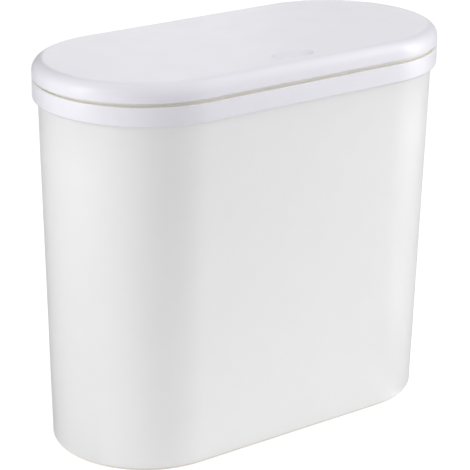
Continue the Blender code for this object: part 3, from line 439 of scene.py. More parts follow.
def add_pin_bore(mesh, side, start_x, end_x):
    """A round tool for the hinge pin's bore on one side of the bin."""
    add_rod(mesh, [(x, PIN_BORE) for x in sorted((side * start_x, side * end_x))])


def add_spring_seat(mesh, x, low, high):
    """A pad in front of the hinge rail that a torsion spring's leg rests on."""
    back = HINGE_Y - RAIL_RADIUS - SEAT_GAP
    add_box(mesh, (x - SPRING_SEAT_WIDTH / 2, back - SPRING_SEAT_LENGTH, low),
            (x + SPRING_SEAT_WIDTH / 2, back, high))


def link_object(name, data):
    """A new object in the scene with the given data."""
    item = bpy.data.objects.new(name, data)
    bpy.context.scene.collection.objects.link(item)
    return item


def link_mesh(name, mesh):
    """Put a mesh into a new object and free it."""
    bmesh.ops.recalc_face_normals(mesh, faces=mesh.faces)
    data = bpy.data.meshes.new(name)
    mesh.to_mesh(data)
    mesh.free()
    return link_object(name, data)


def combine(mesh, tool_mesh, operation):
    """Return the mesh after one exact Boolean with the tool, and free both inputs."""
    body = link_mesh("body", mesh)
    tool = link_mesh("tool", tool_mesh)
    modifier = body.modifiers.new("combine", "BOOLEAN")
    modifier.operation = operation
    modifier.solver = "EXACT"
    modifier.object = tool
    bpy.context.view_layer.update()
    evaluated = body.evaluated_get(bpy.context.evaluated_depsgraph_get())
    result = bmesh.new()
    result.from_mesh(evaluated.data)
    bmesh.ops.remove_doubles(result, verts=result.verts, dist=WELD_DISTANCE)
    bmesh.ops.dissolve_degenerate(result, edges=result.edges, dist=WELD_DISTANCE)
    for item in (body, tool):
        data = item.data
        bpy.data.objects.remove(item)
        bpy.data.meshes.remove(data)
    return result


def finish_piece(piece, material):
    """Give a finished piece its material, and mark its worn edges if it is a mesh."""
    piece.data.materials.clear()
    piece.data.materials.append(material)
    if piece.type == "MESH":
        mark_worn_edges(piece)


def place_piece(piece, node, body, material):
    """Let a finished piece stand for a CAD node and ride on its body."""
    finish_piece(piece, material)
    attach(piece, body)
    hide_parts(node)


def place_latch_wire(wire, node, material):
    """Let a wire stand for a CAD node, baked in place between the collar and the sliding latch."""
    piece = wire_as_mesh(wire)
    finish_piece(piece, material)
    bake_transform(piece)
    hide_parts(node)


def shade(piece):
    """Smooth shading with sharp edges kept where faces meet steeply."""
    piece.data.shade_smooth()
    piece.data.set_sharp_from_angle(angle=SMOOTH_ANGLE)
    return piece


def mark_worn_edges(piece):
    """Store on each face how tightly it bends outwards, from 0 flat to 1 a sharp edge."""
    mesh = bmesh.new()
    mesh.from_mesh(piece.data)
    bends = [0.0] * len(mesh.faces)
    for edge in mesh.edges:
        angle = edge.calc_face_angle_signed(0)
        if angle <= 0:
            continue
        first, second = edge.link_faces
        step = (first.calc_center_median() - second.calc_center_median()).length
        bend = min(angle * WORN_RADIUS / max(step, WELD_DISTANCE), 1)
        for face in edge.link_faces:
            bends[face.index] = max(bends[face.index], bend)
    mesh.free()
    layer = piece.data.attributes.new(EDGE_ATTRIBUTE, "FLOAT", "FACE")
    layer.data.foreach_set("value", [max(bend - WORN_FROM, 0) / (1 - WORN_FROM) for bend in bends])


def bucket_radius(z):
    """Outer radius of the bucket's tapered wall at height z."""
    return BUCKET_BASE_RADIUS + BUCKET_TAPER * z / BUCKET_HEIGHT


def make_bucket():
    """Tapered bucket with a foot ring, a gate mark, a radiused floor and a thickened rim."""
    rim_bottom = BUCKET_HEIGHT - RIM_HEIGHT
    rim_ramp = rim_bottom - RIM_INSIDE
    floor_top = FOOT_RECESS + BUCKET_FLOOR
    inner_start = floor_top + BUCKET_INNER_ROUND
    inner_radius = bucket_radius(inner_start) - BUCKET_WALL
    foot_inner = BUCKET_BASE_RADIUS - BUCKET_EDGE_ROUND - FOOT_WIDTH
    outer_low = (BUCKET_BASE_RADIUS, BUCKET_EDGE_ROUND)
    outer_high = (bucket_radius(rim_ramp), rim_ramp)
    inner_high = (bucket_radius(rim_ramp) - BUCKET_WALL, rim_ramp)
    profile = [(foot_inner - FOOT_RECESS, FOOT_RECESS), (foot_inner, FOOT_ROUND)]
    profile += arc(foot_inner + FOOT_ROUND, FOOT_ROUND, FOOT_ROUND, -135, -90, EDGE_STEPS)
    profile += round_corner(BUCKET_BASE_RADIUS, 0, BUCKET_EDGE_ROUND, -90, 2 * EDGE_STEPS)
    profile += straight_run(outer_low, outer_high, WALL_RINGS)
    profile += [outer_high, (RIM_OUTER_RADIUS, rim_bottom)]
    profile += round_corner(RIM_OUTER_RADIUS, BUCKET_HEIGHT, RIM_ROUND, 0)
    profile += round_corner(RIM_INNER_RADIUS, BUCKET_HEIGHT, RIM_ROUND, 90)
    profile += [(RIM_INNER_RADIUS, rim_bottom), inner_high]
    profile += straight_run(inner_high, (inner_radius, inner_start), WALL_RINGS)
    profile += arc(inner_radius - BUCKET_INNER_ROUND, inner_start, BUCKET_INNER_ROUND, 0, -90,
                   FILLET_STEPS)
    mesh = bmesh.new()
    add_stadium_stack(mesh, profile)
    gate = bmesh.new()
    gate_low = FOOT_RECESS - GATE_MARK_HEIGHT
    gate_profile = [(GATE_MARK_RADIUS, FOOT_RECESS + BUCKET_FLOOR / 2)]
    gate_profile += arc(GATE_MARK_RADIUS - GATE_MARK_ROUND, gate_low + GATE_MARK_ROUND,
                        GATE_MARK_ROUND, 0, -90, EDGE_STEPS)
    add_turned(gate, (0, 0), gate_profile)
    return shade(link_mesh("bucket_moulding", combine(mesh, gate, "UNION")))


def bumper_places():
    """Centres of the four bumpers on the collar's deck."""
    reach = COLLAR_RADIUS - BUMPER_INSET
    end_x = END_CENTRE + reach * math.cos(BUMPER_END_ANGLE)
    end_y = reach * math.sin(BUMPER_END_ANGLE)
    places = []
    for side in (-1, 1):
        places += [(side * (END_CENTRE - BUMPER_FROM_END_CENTRE), -reach), (side * end_x, end_y)]
    return places


def collar_profile():
    """Section of the collar: outer skirt, deck, and the inner skirt that keeps the bag in place."""
    bag_inner = BAG_SKIRT_RADIUS - BAG_SKIRT_WALL
    bag_bottom = DECK_UNDERSIDE - BAG_SKIRT_DROP
    profile = [(SKIRT_INNER_RADIUS, COLLAR_BOTTOM)]
    profile += round_corner(COLLAR_RADIUS, COLLAR_BOTTOM, COLLAR_SKIRT_ROUND, -90, 2 * EDGE_STEPS)
    profile += round_corner(COLLAR_RADIUS, COLLAR_TOP, COLLAR_TOP_ROUND, 0)
    profile += round_corner(THROAT_RADIUS, COLLAR_TOP, COLLAR_TOP_ROUND, 90)
    profile += [(THROAT_RADIUS, DECK_UNDERSIDE), (bag_inner, DECK_UNDERSIDE)]
    profile += round_corner(bag_inner, bag_bottom, BAG_SKIRT_ROUND, 180)
    profile += round_corner(BAG_SKIRT_RADIUS, bag_bottom, BAG_SKIRT_ROUND, 270)
    profile += [(BAG_SKIRT_RADIUS, DECK_UNDERSIDE), (SKIRT_INNER_RADIUS, DECK_UNDERSIDE)]
    return profile


def make_hinge_rail():
    """Rail along the back of the deck with a round top about the hinge's axis."""
    foot_z = COLLAR_TOP - RAIL_DEPTH_IN_DECK
    outline = [(HINGE_Y + RAIL_RADIUS, foot_z)]
    outline += arc(HINGE_Y, HINGE_Z, RAIL_RADIUS, 0, 180, 2 * FILLET_STEPS)
    outline += [(HINGE_Y - RAIL_RADIUS, foot_z)]
    rail = bmesh.new()
    add_side_prism(rail, outline, -RAIL_HALF_LENGTH, RAIL_HALF_LENGTH)
    plan = bmesh.new()
    plan_top = HINGE_Z + RAIL_RADIUS + OVERRUN
    add_stadium_stack(plan, [(COLLAR_RADIUS - RAIL_INSET, foot_z - OVERRUN),
                             (COLLAR_RADIUS - RAIL_INSET, plan_top)])
    return combine(rail, plan, "INTERSECT")


def make_upstand():
    """Low rim on the deck, just inside the lid's wall, that ends well short of the hinge."""
    outer = LID_RADIUS - LID_WALL - UPSTAND_CLEARANCE
    inner = outer - UPSTAND_WALL
    root_z = COLLAR_TOP - COLLAR_DECK / 2
    top_z = COLLAR_TOP + UPSTAND_HEIGHT
    profile = [(outer, root_z)]
    profile += round_corner(outer, top_z, UPSTAND_ROUND, 0)
    profile += round_corner(inner, top_z, UPSTAND_ROUND, 90)
    profile += [(inner, root_z)]
    ring = bmesh.new()
    add_stadium_stack(ring, profile, closed=True)
    front = bmesh.new()
    add_box(front, (-2 * COLLAR_HALF_LENGTH, -2 * COLLAR_RADIUS, root_z - OVERRUN),
            (2 * COLLAR_HALF_LENGTH, HINGE_Y - UPSTAND_BEFORE_HINGE, top_z + OVERRUN))
    return combine(ring, front, "INTERSECT")


def make_collar():
    """Collar with its hinge rail, latch shelf, screw bosses, spring seats and bumper pockets."""
    mesh = bmesh.new()
    add_stadium_stack(mesh, collar_profile(), closed=True)
    shelf = bmesh.new()
    shelf_front = -THROAT_RADIUS - COLLAR_TOP_ROUND - OVERRUN
    add_box(shelf, (-SHELF_HALF_LENGTH, shelf_front, DECK_UNDERSIDE),
            (SHELF_HALF_LENGTH, LATCH_Y + SHELF_BACK, COLLAR_TOP))
    for part in (make_hinge_rail(), make_upstand(), shelf):
        mesh = combine(mesh, part, "UNION")

    adds = bmesh.new()
    root_z = COLLAR_TOP - COLLAR_DECK / 2
    boss_top = COLLAR_TOP + LATCH_BOSS_HEIGHT
    boss = [(LATCH_BOSS_RADIUS, root_z)]
    boss += round_corner(LATCH_BOSS_RADIUS, boss_top, LATCH_BOSS_ROUND, 0)
    for side in (-1, 1):
        add_turned(adds, (side * EAR_SCREW_X, LATCH_Y), boss)
        add_spring_seat(adds, side * HINGE_SPRING_X, root_z, HINGE_Z - SPRING_CLEAR)
    mesh = combine(mesh, adds, "UNION")

    slot_low = HINGE_Z - KNUCKLE_RADIUS - KNUCKLE_CLEARANCE
    slot_top = HINGE_Z + RAIL_RADIUS + OVERRUN
    slot_front = HINGE_Y - RAIL_RADIUS - OVERRUN
    for start, end, back in (
            (SLOT_START, KNUCKLE_END + RUNNING_GAP, HINGE_Y + RAIL_RADIUS + OVERRUN),
            (KNUCKLE_END, SLOT_END, HINGE_Y + SPRING_CLEAR)):
        cuts = bmesh.new()
        for side in (-1, 1):
            slot = sorted((side * start, side * end))
            add_box(cuts, (slot[0], slot_front, slot_low), (slot[1], back, slot_top))
        mesh = combine(mesh, cuts, "DIFFERENCE")

    cuts = bmesh.new()
    for side in (-1, 1):
        add_pin_bore(cuts, side, PIN_START - SEAT_GAP, RAIL_HALF_LENGTH + OVERRUN)
        add_column(cuts, (side * EAR_SCREW_X, LATCH_Y), SCREW_HOLE, DECK_UNDERSIDE - OVERRUN,
                   boss_top - LATCH_BOSS_CAP)
    add_box(cuts, (-WINDOW_HALF_LENGTH, LATCH_Y - WINDOW_HALF_DEPTH, DECK_UNDERSIDE - OVERRUN),
            (WINDOW_HALF_LENGTH, LATCH_Y + WINDOW_HALF_DEPTH, COLLAR_TOP + OVERRUN))
    for centre in bumper_places():
        add_column(cuts, centre, BUMPER_RADIUS + SEAT_GAP, COLLAR_TOP - BUMPER_POCKET,
                   COLLAR_TOP + OVERRUN, ROUND_SEGMENTS)
    mesh = combine(mesh, cuts, "DIFFERENCE")
    return shade(link_mesh("collar_moulding", mesh))


def lid_crown_z(radius):
    """Height of the lid's outer top at a ring of the given radius."""
    return LID_EDGE_TOP + LID_CROWN * (1 - (radius / LID_FILLET_RADIUS) ** 2)


def dimple_drop(x, y, growth):
    """Depth of the press spot, an oval with steep ends and a soft front and back."""
    across = (y - DIMPLE_Y) / (DIMPLE_WIDTH / 2 + growth)
    if abs(across) >= 1:
        return 0
    half_length = (DIMPLE_LENGTH / 2 + growth) * math.sqrt(1 - across ** 2)
    inward = min(max(1 - abs(x) / half_length, 0) / DIMPLE_END_SHARE, 1)
    lip = DIMPLE_LIP_SHARE
    fall = inward ** 2 / lip if inward < lip else 1 - (1 - inward) ** 2 / (1 - lip)
    return DIMPLE_DEPTH * fall * (1 - across ** 2) ** 2


def lid_profile():
    """Section of the lid from the middle of its top, round the edge and back to its ceiling."""
    inner_fillet = LID_FILLET - LID_WALL
    inner_radius = LID_RADIUS - LID_WALL
    lip_z = LID_BOTTOM + LID_EDGE_ROUND
    crown_run = LID_FILLET_RADIUS - LID_SPINE_RADIUS
    crown_radii = [LID_SPINE_RADIUS + crown_run * i / CROWN_RINGS for i in range(CROWN_RINGS)]
    profile = [(radius, lid_crown_z(radius)) for radius in crown_radii]
    profile += arc(LID_FILLET_RADIUS, LID_FILLET_Z, LID_FILLET, 90, 0, FILLET_STEPS)
    profile += arc(LID_RADIUS - LID_EDGE_ROUND, lip_z, LID_EDGE_ROUND, 0, -90, EDGE_STEPS)
    profile += arc(inner_radius + LID_EDGE_ROUND, lip_z, LID_EDGE_ROUND, -90, -180, EDGE_STEPS)
    profile += arc(LID_FILLET_RADIUS, LID_FILLET_Z, inner_fillet, 0, 90, FILLET_STEPS)
    profile += [(radius, lid_crown_z(radius) - LID_WALL) for radius in reversed(crown_radii)]
    return profile


def press_dimple(mesh):
    """Refine the lid round the press spot and sink its top and its ceiling there."""
    reach_x = DIMPLE_LENGTH / 2 + LID_WALL
    reach_y = DIMPLE_WIDTH / 2
    edges = set()
    for face in mesh.faces:
        centre = face.calc_center_median()
        in_plan = abs(centre.x) < reach_x and abs(centre.y - DIMPLE_Y) < reach_y
        if in_plan and centre.z > CEILING_EDGE:
            edges.update(face.edges)
    bmesh.ops.subdivide_edges(mesh, edges=list(edges), cuts=DIMPLE_CUTS, use_grid_fill=True)
    many_sided = [face for face in mesh.faces if len(face.verts) > 4]
    bmesh.ops.triangulate(mesh, faces=many_sided)
    for vert in mesh.verts:
        if vert.co.z >= CEILING_EDGE:
            inside = vert.co.z < LID_EDGE_TOP - SKIN_MARGIN
            vert.co.z -= dimple_drop(vert.co.x, vert.co.y, LID_WALL if inside else 0)


def make_lid_shell():
    """Lid with its hinge knuckles, ribs, striker bosses, bumper posts and press spot."""
    mesh = bmesh.new()
    add_stadium_stack(mesh, lid_profile())
    press_dimple(mesh)

    trim = bmesh.new()
    add_box(trim, (-COLLAR_HALF_LENGTH, HINGE_Y - LID_TRIM_LEAD, LID_BOTTOM - OVERRUN),
            (COLLAR_HALF_LENGTH, LID_RADIUS + OVERRUN, HINGE_Z + LID_TRIM_RISE))
    mesh = combine(mesh, trim, "DIFFERENCE")

    adds = bmesh.new()
    rib_bottom = CEILING_EDGE - LID_RIB_DROP
    for side in (-1, 1):
        for share in LID_RIB_SHARES:
            rib_x = share * COLLAR_HALF_LENGTH
            end_x = max(rib_x - END_CENTRE, 0)
            reach = math.sqrt(LID_FILLET_RADIUS ** 2 - end_x ** 2) - LID_RIB_END_GAP
            add_box(adds, (side * rib_x - LID_RIB_WALL / 2, -reach, rib_bottom),
                    (side * rib_x + LID_RIB_WALL / 2, reach, LID_ROOT_Z))
        add_column(adds, (side * STRIKER_SCREW_X, LATCH_Y), LID_BOSS_RADIUS,
                   STRIKER_PLATE_TOP + SEAT_GAP, LID_ROOT_Z - DIMPLE_DEPTH)
        add_spring_seat(adds, side * (HINGE_SPRING_X + HINGE_SPRING_LENGTH),
                        HINGE_Z + SPRING_CLEAR, LID_ROOT_Z)
    for centre in bumper_places():
        add_column(adds, centre, LID_POST_RADIUS, BUMPER_TOP + SEAT_GAP, LID_ROOT_Z)
    mesh = combine(mesh, adds, "UNION")

    adds = bmesh.new()
    outline = arc(HINGE_Y, HINGE_Z, KNUCKLE_RADIUS, -180, 45, 2 * FILLET_STEPS)
    outline += [(HINGE_Y, CEILING_EDGE), (HINGE_Y - KNUCKLE_RADIUS, LID_ROOT_Z)]
    for side in (-1, 1):
        ends = sorted((side * KNUCKLE_X, side * KNUCKLE_END))
        add_side_prism(adds, outline, ends[0], ends[1])
    mesh = combine(mesh, adds, "UNION")

    cuts = bmesh.new()
    hole_top = STRIKER_PLATE_BOTTOM - SEAT_GAP + STRIKER_SCREW_LENGTH + SCREW_TIP_ROOM
    for side in (-1, 1):
        add_pin_bore(cuts, side, KNUCKLE_X - OVERRUN, KNUCKLE_END + OVERRUN)
        add_column(cuts, (side * STRIKER_SCREW_X, LATCH_Y), SCREW_HOLE, STRIKER_PLATE_TOP,
                   hole_top)
    mesh = combine(mesh, cuts, "DIFFERENCE")
    mesh.transform(LID_TURN)
    return shade(link_mesh("lid_moulding", mesh))


def make_soft_copy(name, node):
    """A copy of a moulded CAD piece with its flat faces made whole and its edges softened."""
    mesh = bmesh.new()
    mesh.from_mesh(frame["nodes"][node].data)
    bmesh.ops.remove_doubles(mesh, verts=mesh.verts, dist=WELD_DISTANCE)
    bmesh.ops.dissolve_limit(mesh, angle_limit=FLAT_ANGLE, verts=mesh.verts, edges=mesh.edges)
    piece = link_mesh(name, mesh)
    bevel = piece.modifiers.new("soft edges", "BEVEL")
    bevel.width = SOFT_EDGE
    bevel.segments = SOFT_EDGE_SEGMENTS
    bevel.limit_method = "ANGLE"
    bevel.angle_limit = EDGE_ANGLE
    return shade(piece)


def thread_loop(centre, core, crest, z, start_z):
    """One ring through a helical thread, whose radius rises and falls once a turn."""
    loop = []
    for i in range(SMALL_SEGMENTS):
        angle = 2 * math.pi * i / SMALL_SEGMENTS
        phase = ((z - start_z) / SCREW_PITCH - i / SMALL_SEGMENTS) % 1
        radius = core + (crest - core) * (1 - abs(2 * phase - 1)) ** 2
        loop.append(around(centre, radius, angle, z))
    return loop


def make_screw(name, centre, bearing_z, length, turn):
    """A pan-head screw standing head down, with a cross recess and a helical thread."""
    head_bottom = bearing_z - SCREW_HEAD_HEIGHT
    tip = bearing_z + length
    head = round_corner(SCREW_HEAD_RADIUS, head_bottom, SCREW_HEAD_ROUND, -90)
    head += [(SCREW_HEAD_RADIUS, bearing_z), (SCREW_CORE_RADIUS, bearing_z)]
    loops = [circle_loop(centre, radius, z, SMALL_SEGMENTS) for radius, z in head]
    step = SCREW_PITCH / SCREW_TURN_STEPS
    for i in range(1, int((length - step) / step)):
        z = bearing_z + i * step
        taper = min(1, (tip - z) / SCREW_POINT)
        loops.append(thread_loop(centre, SCREW_CORE_RADIUS * taper, SCREW_RADIUS * taper, z,
                                 bearing_z))
    loops.append(circle_loop(centre, SCREW_TIP_RADIUS, tip, SMALL_SEGMENTS))
    mesh = bmesh.new()
    skin_loops(mesh, loops)
    for arm_x, arm_y in ((SCREW_SLOT_HALF_LENGTH, SCREW_SLOT_HALF_WIDTH),
                         (SCREW_SLOT_HALF_WIDTH, SCREW_SLOT_HALF_LENGTH)):
        slot = bmesh.new()
        add_box(slot, (centre[0] - arm_x, centre[1] - arm_y, head_bottom - OVERRUN),
                (centre[0] + arm_x, centre[1] + arm_y, head_bottom + SCREW_SLOT_DEPTH))
        mesh = combine(mesh, slot, "DIFFERENCE")
    mesh.transform(turn)
    return shade(link_mesh(name, mesh))


def make_wire(name, points, diameter):
    """A round wire through the points, with closed ends."""
    curve = bpy.data.curves.new(name, "CURVE")
    curve.dimensions = "3D"
    curve.bevel_depth = diameter / 2
    curve.bevel_resolution = WIRE_RESOLUTION
    curve.use_fill_caps = True
    spline = curve.splines.new("POLY")
    spline.points.add(len(points) - 1)
    for slot, point in zip(spline.points, points):
        slot.co = (*point, 1.0)
    return link_object(name, curve)


def wire_as_mesh(wire):
    """The same wire as a mesh with smooth shading."""
    evaluated = wire.evaluated_get(bpy.context.evaluated_depsgraph_get())
    piece = link_object(wire.name, bpy.data.meshes.new_from_object(evaluated))
    bpy.data.objects.remove(wire)
    return shade(piece)


def make_latch_spring():
    """Compression spring between the housing's floor and the slider, with its closing ends."""
    low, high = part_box("latch_spring")
    centre = (0, LATCH_Y + LATCH_SPRING_BACK)
    coil_low = low.z + LATCH_SPRING_WIRE
    coil_high = high.z - LATCH_SPRING_WIRE
    steps = LATCH_SPRING_TURNS * CURL_POINTS
    points = [around(centre, LATCH_SPRING_RADIUS, 0, low.z)]
    for i in range(steps + 1):
        points.append(around(centre, LATCH_SPRING_RADIUS, 2 * math.pi * i / CURL_POINTS,
                             coil_low + (coil_high - coil_low) * i / steps))
    points.append(around(centre, LATCH_SPRING_RADIUS, 0, high.z))
    return make_wire("latch_spring_wire", points, LATCH_SPRING_WIRE)


def wire_bend(before, corner, after, radius):
    """Points on a smooth bend round one corner of a wire."""
    first = corner + (before - corner).normalized() * radius
    last = corner + (after - corner).normalized() * radius
    points = []
    for i in range(FOLLOWER_BEND_POINTS):
        share = i / (FOLLOWER_BEND_POINTS - 1)
        points.append(first * (1 - share) ** 2 + corner * 2 * share * (1 - share)
                      + last * share ** 2)
    return points


def make_cam_follower():
    """Wire that pivots in the cover and whose bent end lies in the heart track.

    Its upright runs halfway between the slider's back and the cover's front.
    """
    low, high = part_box("cam_follower")
    half = FOLLOWER_WIRE / 2
    upright_y = (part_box("latch_slider")[1].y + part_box("latch_cover")[0].y) / 2
    pivot_end = Vector((0, high.y, low.z + half))
    low_corner = Vector((0, upright_y, low.z + half))
    high_corner = Vector((0, upright_y, high.z - half))
    track_end = Vector((0, low.y, high.z - half))
    points = [pivot_end, *wire_bend(pivot_end, low_corner, high_corner, FOLLOWER_BEND),
              *wire_bend(low_corner, high_corner, track_end, FOLLOWER_BEND), track_end]
    return make_wire("cam_follower_wire", points, FOLLOWER_WIRE)


def make_hinge_pin(side, side_name):
    """Steel pin with chamfered ends through the rail and the lid's knuckle."""
    mesh = bmesh.new()
    ends = sorted((side * PIN_START, side * PIN_END))
    tip = PIN_RADIUS - PIN_CHAMFER
    add_rod(mesh, [(ends[0], tip), (ends[0] + PIN_CHAMFER, PIN_RADIUS),
                   (ends[1] - PIN_CHAMFER, PIN_RADIUS), (ends[1], tip)])
    return shade(link_mesh(f"hinge_pin_{side_name}_steel", mesh))


def make_torsion_spring(side, side_name):
    """Torsion spring round the pin: its coil with the collar's leg, and the leg under the lid."""
    radius = HINGE_SPRING_RADIUS
    steps = round(HINGE_SPRING_TURNS * CURL_POINTS)
    start = Vector((side * HINGE_SPRING_X, HINGE_Y, HINGE_Z))
    points = [start + Vector((0, -HINGE_SPRING_LEG, -radius))]
    for i in range(steps + 1):
        angle = math.radians(-90 + 360 * HINGE_SPRING_TURNS * i / steps)
        points.append(start + Vector((side * HINGE_SPRING_LENGTH * i / steps,
                                      radius * math.cos(angle), radius * math.sin(angle))))
    lid_leg = [points[-1], points[-1] + Vector((0, -HINGE_SPRING_LEG, 0))]
    return (make_wire(f"torsion_spring_{side_name}_wire", points, HINGE_SPRING_WIRE),
            make_wire(f"torsion_spring_{side_name}_lid_leg", lid_leg, HINGE_SPRING_WIRE))


def make_bumper(number, centre):
    """Round elastomer pad with a soft upper edge in a pocket of the collar's deck."""
    profile = [(BUMPER_RADIUS - BUMPER_CHAMFER, BUMPER_BOTTOM),
               (BUMPER_RADIUS, BUMPER_BOTTOM + BUMPER_CHAMFER)]
    profile += round_corner(BUMPER_RADIUS, BUMPER_TOP, BUMPER_ROUND, 0)
    mesh = bmesh.new()
    add_turned(mesh, centre, profile, ROUND_SEGMENTS)
    return shade(link_mesh(f"bumper_pad_{number}", mesh))


def linear_colour(hex_colour):
    """Turn an sRGB hex colour into linear red, green, blue and alpha."""
    channels = [int(hex_colour[i:i + 2], 16) / 255 for i in (1, 3, 5)]
    linear = []
    for c in channels:
        curved = ((c + CURVE_OFFSET) / (1 + CURVE_OFFSET)) ** CURVE_POWER
        linear.append(c / CURVE_SLOPE if c <= CURVE_TOE else curved)
    return (*linear, 1.0)


def per_mm(size):
    """Texture scale for a pattern whose repeat is the given number of millimetres."""
    return 1000 / size


def add_node(tree, kind, sockets, **settings):
    """Add a shader node with its settings, and fill its inputs with links, colours or values."""
    node = tree.nodes.new("ShaderNode" + kind)
    for name, value in settings.items():
        setattr(node, name, value)
    for name, value in sockets.items():
        if isinstance(value, bpy.types.NodeSocket):
            tree.links.new(value, node.inputs[name])
        elif isinstance(value, str):
            node.inputs[name].default_value = linear_colour(value)
        else:
            node.inputs[name].default_value = value
    return node


def noise(tree, place, size_mm, detail, roughness=0.5):
    """Noise whose widest patches measure about size_mm."""
    return add_node(tree, "TexNoise", {"Vector": place, "Scale": per_mm(size_mm),
                                       "Detail": detail, "Roughness": roughness}).outputs["Fac"]


def remap(tree, value, source, target=(0.0, 1.0)):
    """Map one range of a value onto another and keep it inside."""
    return add_node(tree, "MapRange",
                    {"Value": value, "From Min": source[0], "From Max": source[1],
                     "To Min": target[0], "To Max": target[1]}).outputs["Result"]


def mix_colours(tree, factor, first, second):
    """Blend from the first colour to the second, each a hex colour or a socket."""
    return add_node(tree, "Mix", {"Factor": factor, "A": first, "B": second},
                    data_type="RGBA").outputs["Result"]


def calculate(tree, operation, *values):
    """One step of arithmetic with sockets or numbers."""
    return add_node(tree, "Math", dict(enumerate(values)), operation=operation).outputs["Value"]


def relief(tree, height, strength, depth, **below):
    """Normals of a pattern that is depth metres deep, over another relief if one is given."""
    return add_node(tree, "Bump", {"Height": height, "Strength": strength, "Distance": depth,
                                   **below}).outputs["Normal"]


def new_material(name):
    """A material with a Principled shader, and its object coordinates in metres."""
    material = bpy.data.materials.new(name)
    material.use_nodes = True
    tree = material.node_tree
    shader = tree.nodes["Principled BSDF"]
    place = add_node(tree, "TexCoord", {}).outputs["Object"]
    return material, tree, shader, place


def connect(tree, shader, colour, roughness, normal):
    """Feed a shader's colour, roughness and normal from patterns."""
    for name, socket in (("Base Color", colour), ("Roughness", roughness), ("Normal", normal)):
        tree.links.new(socket, shader.inputs[name])


def show(tree, node):
    """Let a node's shader be the material's surface."""
    tree.links.new(node.outputs["Shader"], tree.nodes["Material Output"].inputs["Surface"])


def moulded_plastic(name, body_hex, painted_crevice_hex, rub_hex, roughness, grain_mm, grain_depth):
    """Moulded plastic: an even colour, a fine spark-eroded grain and edges rubbed by handling.

    The grain is drawn coarser than the real 0.05 mm so that it still breaks up the gloss at the
    photograph's size. The crevice colour is painted light and shade: where close walls shut the
    surface in, it is painted in for the warm light and the shade caught between them.
    """
    material, tree, shader, place = new_material(name)
    clouds = noise(tree, place, CLOUD_MM, detail=3.0, roughness=0.55)
    grain = noise(tree, place, grain_mm, detail=2.0)
    swell = noise(tree, place, SWELL_MM, detail=1.0, roughness=0.4)
    scuffs = noise(tree, place, SCUFF_MM, detail=4.0, roughness=0.65)

    edge = add_node(tree, "Attribute", {}, attribute_name=EDGE_ATTRIBUTE).outputs["Fac"]
    rub = calculate(tree, "MULTIPLY", edge, remap(tree, scuffs, SCUFF_RANGE, RUB_RANGE))
    # Painted light and shade: an occlusion mask paints the crevice colour where close walls shut
    # the surface in
    closed_in = add_node(tree, "AmbientOcclusion", {"Distance": PAINTED_CREVICE_REACH},
                         samples=PAINTED_CREVICE_SAMPLES)
    painted_crevice_mask = remap(tree, closed_in.outputs["AO"], PAINTED_CREVICE_OPENNESS)
    tint = remap(tree, clouds, TINT_CLOUDS, TINT_RANGE)
    body = mix_colours(tree, tint, body_hex, rub_hex)
    with_painted_crevice = mix_colours(tree, painted_crevice_mask, body, painted_crevice_hex)
    worn = mix_colours(tree, rub, with_painted_crevice, rub_hex)
    gloss = remap(tree, clouds, GLOSS_CLOUDS, (roughness - GLOSS_BELOW, roughness + GLOSS_ABOVE))
    worn_gloss = calculate(tree, "MULTIPLY_ADD", rub, RUB_DULLS, gloss)
    waves = relief(tree, swell, 0.5, SWELL_DEPTH)
    connect(tree, shader, worn, worn_gloss, relief(tree, grain, 0.5, grain_depth, Normal=waves))
    shader.inputs["IOR"].default_value = PLASTIC_IOR
    return material


def spring_steel_wire(name):
    """Drawn spring steel: fine die lines run along the wire over a grey oxide sheen."""
    material, tree, shader, place = new_material(name)
    stretch = add_node(tree, "Mapping", {"Vector": place, "Scale": (1.0, 6.0, 6.0)})
    lines = noise(tree, stretch.outputs["Vector"], size_mm=0.6, detail=3.0, roughness=0.6)
    patches = noise(tree, place, size_mm=2.5, detail=2.0)
    colour = mix_colours(tree, patches, "#A9ADB1", "#C4C5C4")
    gloss = remap(tree, lines, source=(0.3, 0.7), target=(0.30, 0.42))
    connect(tree, shader, colour, gloss, relief(tree, lines, strength=0.4, depth=0.00001))
    shader.inputs["Metallic"].default_value = 1.0
    return material


def zinc_plated_steel(name):
    """Zinc plating, blue passivated: a bright grey with cloudy bluish and straw patches."""
    material, tree, shader, place = new_material(name)
    patches = noise(tree, place, size_mm=1.8, detail=3.0)
    speckle = add_node(tree, "TexVoronoi", {"Vector": place, "Scale": per_mm(0.35)})
    speckle = speckle.outputs["Distance"]
    colour = mix_colours(tree, patches, "#BCC4CE", "#CFCBBD")
    gloss = remap(tree, speckle, source=(0.0, 0.6), target=(0.28, 0.42))
    connect(tree, shader, colour, gloss, relief(tree, speckle, strength=0.3, depth=0.00001))
    shader.inputs["Metallic"].default_value = 1.0
    return material


def moulded_elastomer(name):
    """Soft clear-grey elastomer: matt, slightly translucent, with dust in its pores."""
    material, tree, shader, place = new_material(name)
    pores = noise(tree, place, size_mm=0.5, detail=4.0)
    colour = mix_colours(tree, pores, "#C2C4C4", "#D2D1CC")
    gloss = remap(tree, pores, source=(0.3, 0.7), target=(0.48, 0.62))
    connect(tree, shader, colour, gloss, relief(tree, pores, strength=0.4, depth=0.00003))
    shader.inputs["Subsurface Weight"].default_value = 0.15
    shader.inputs["Subsurface Scale"].default_value = 0.001
    return material


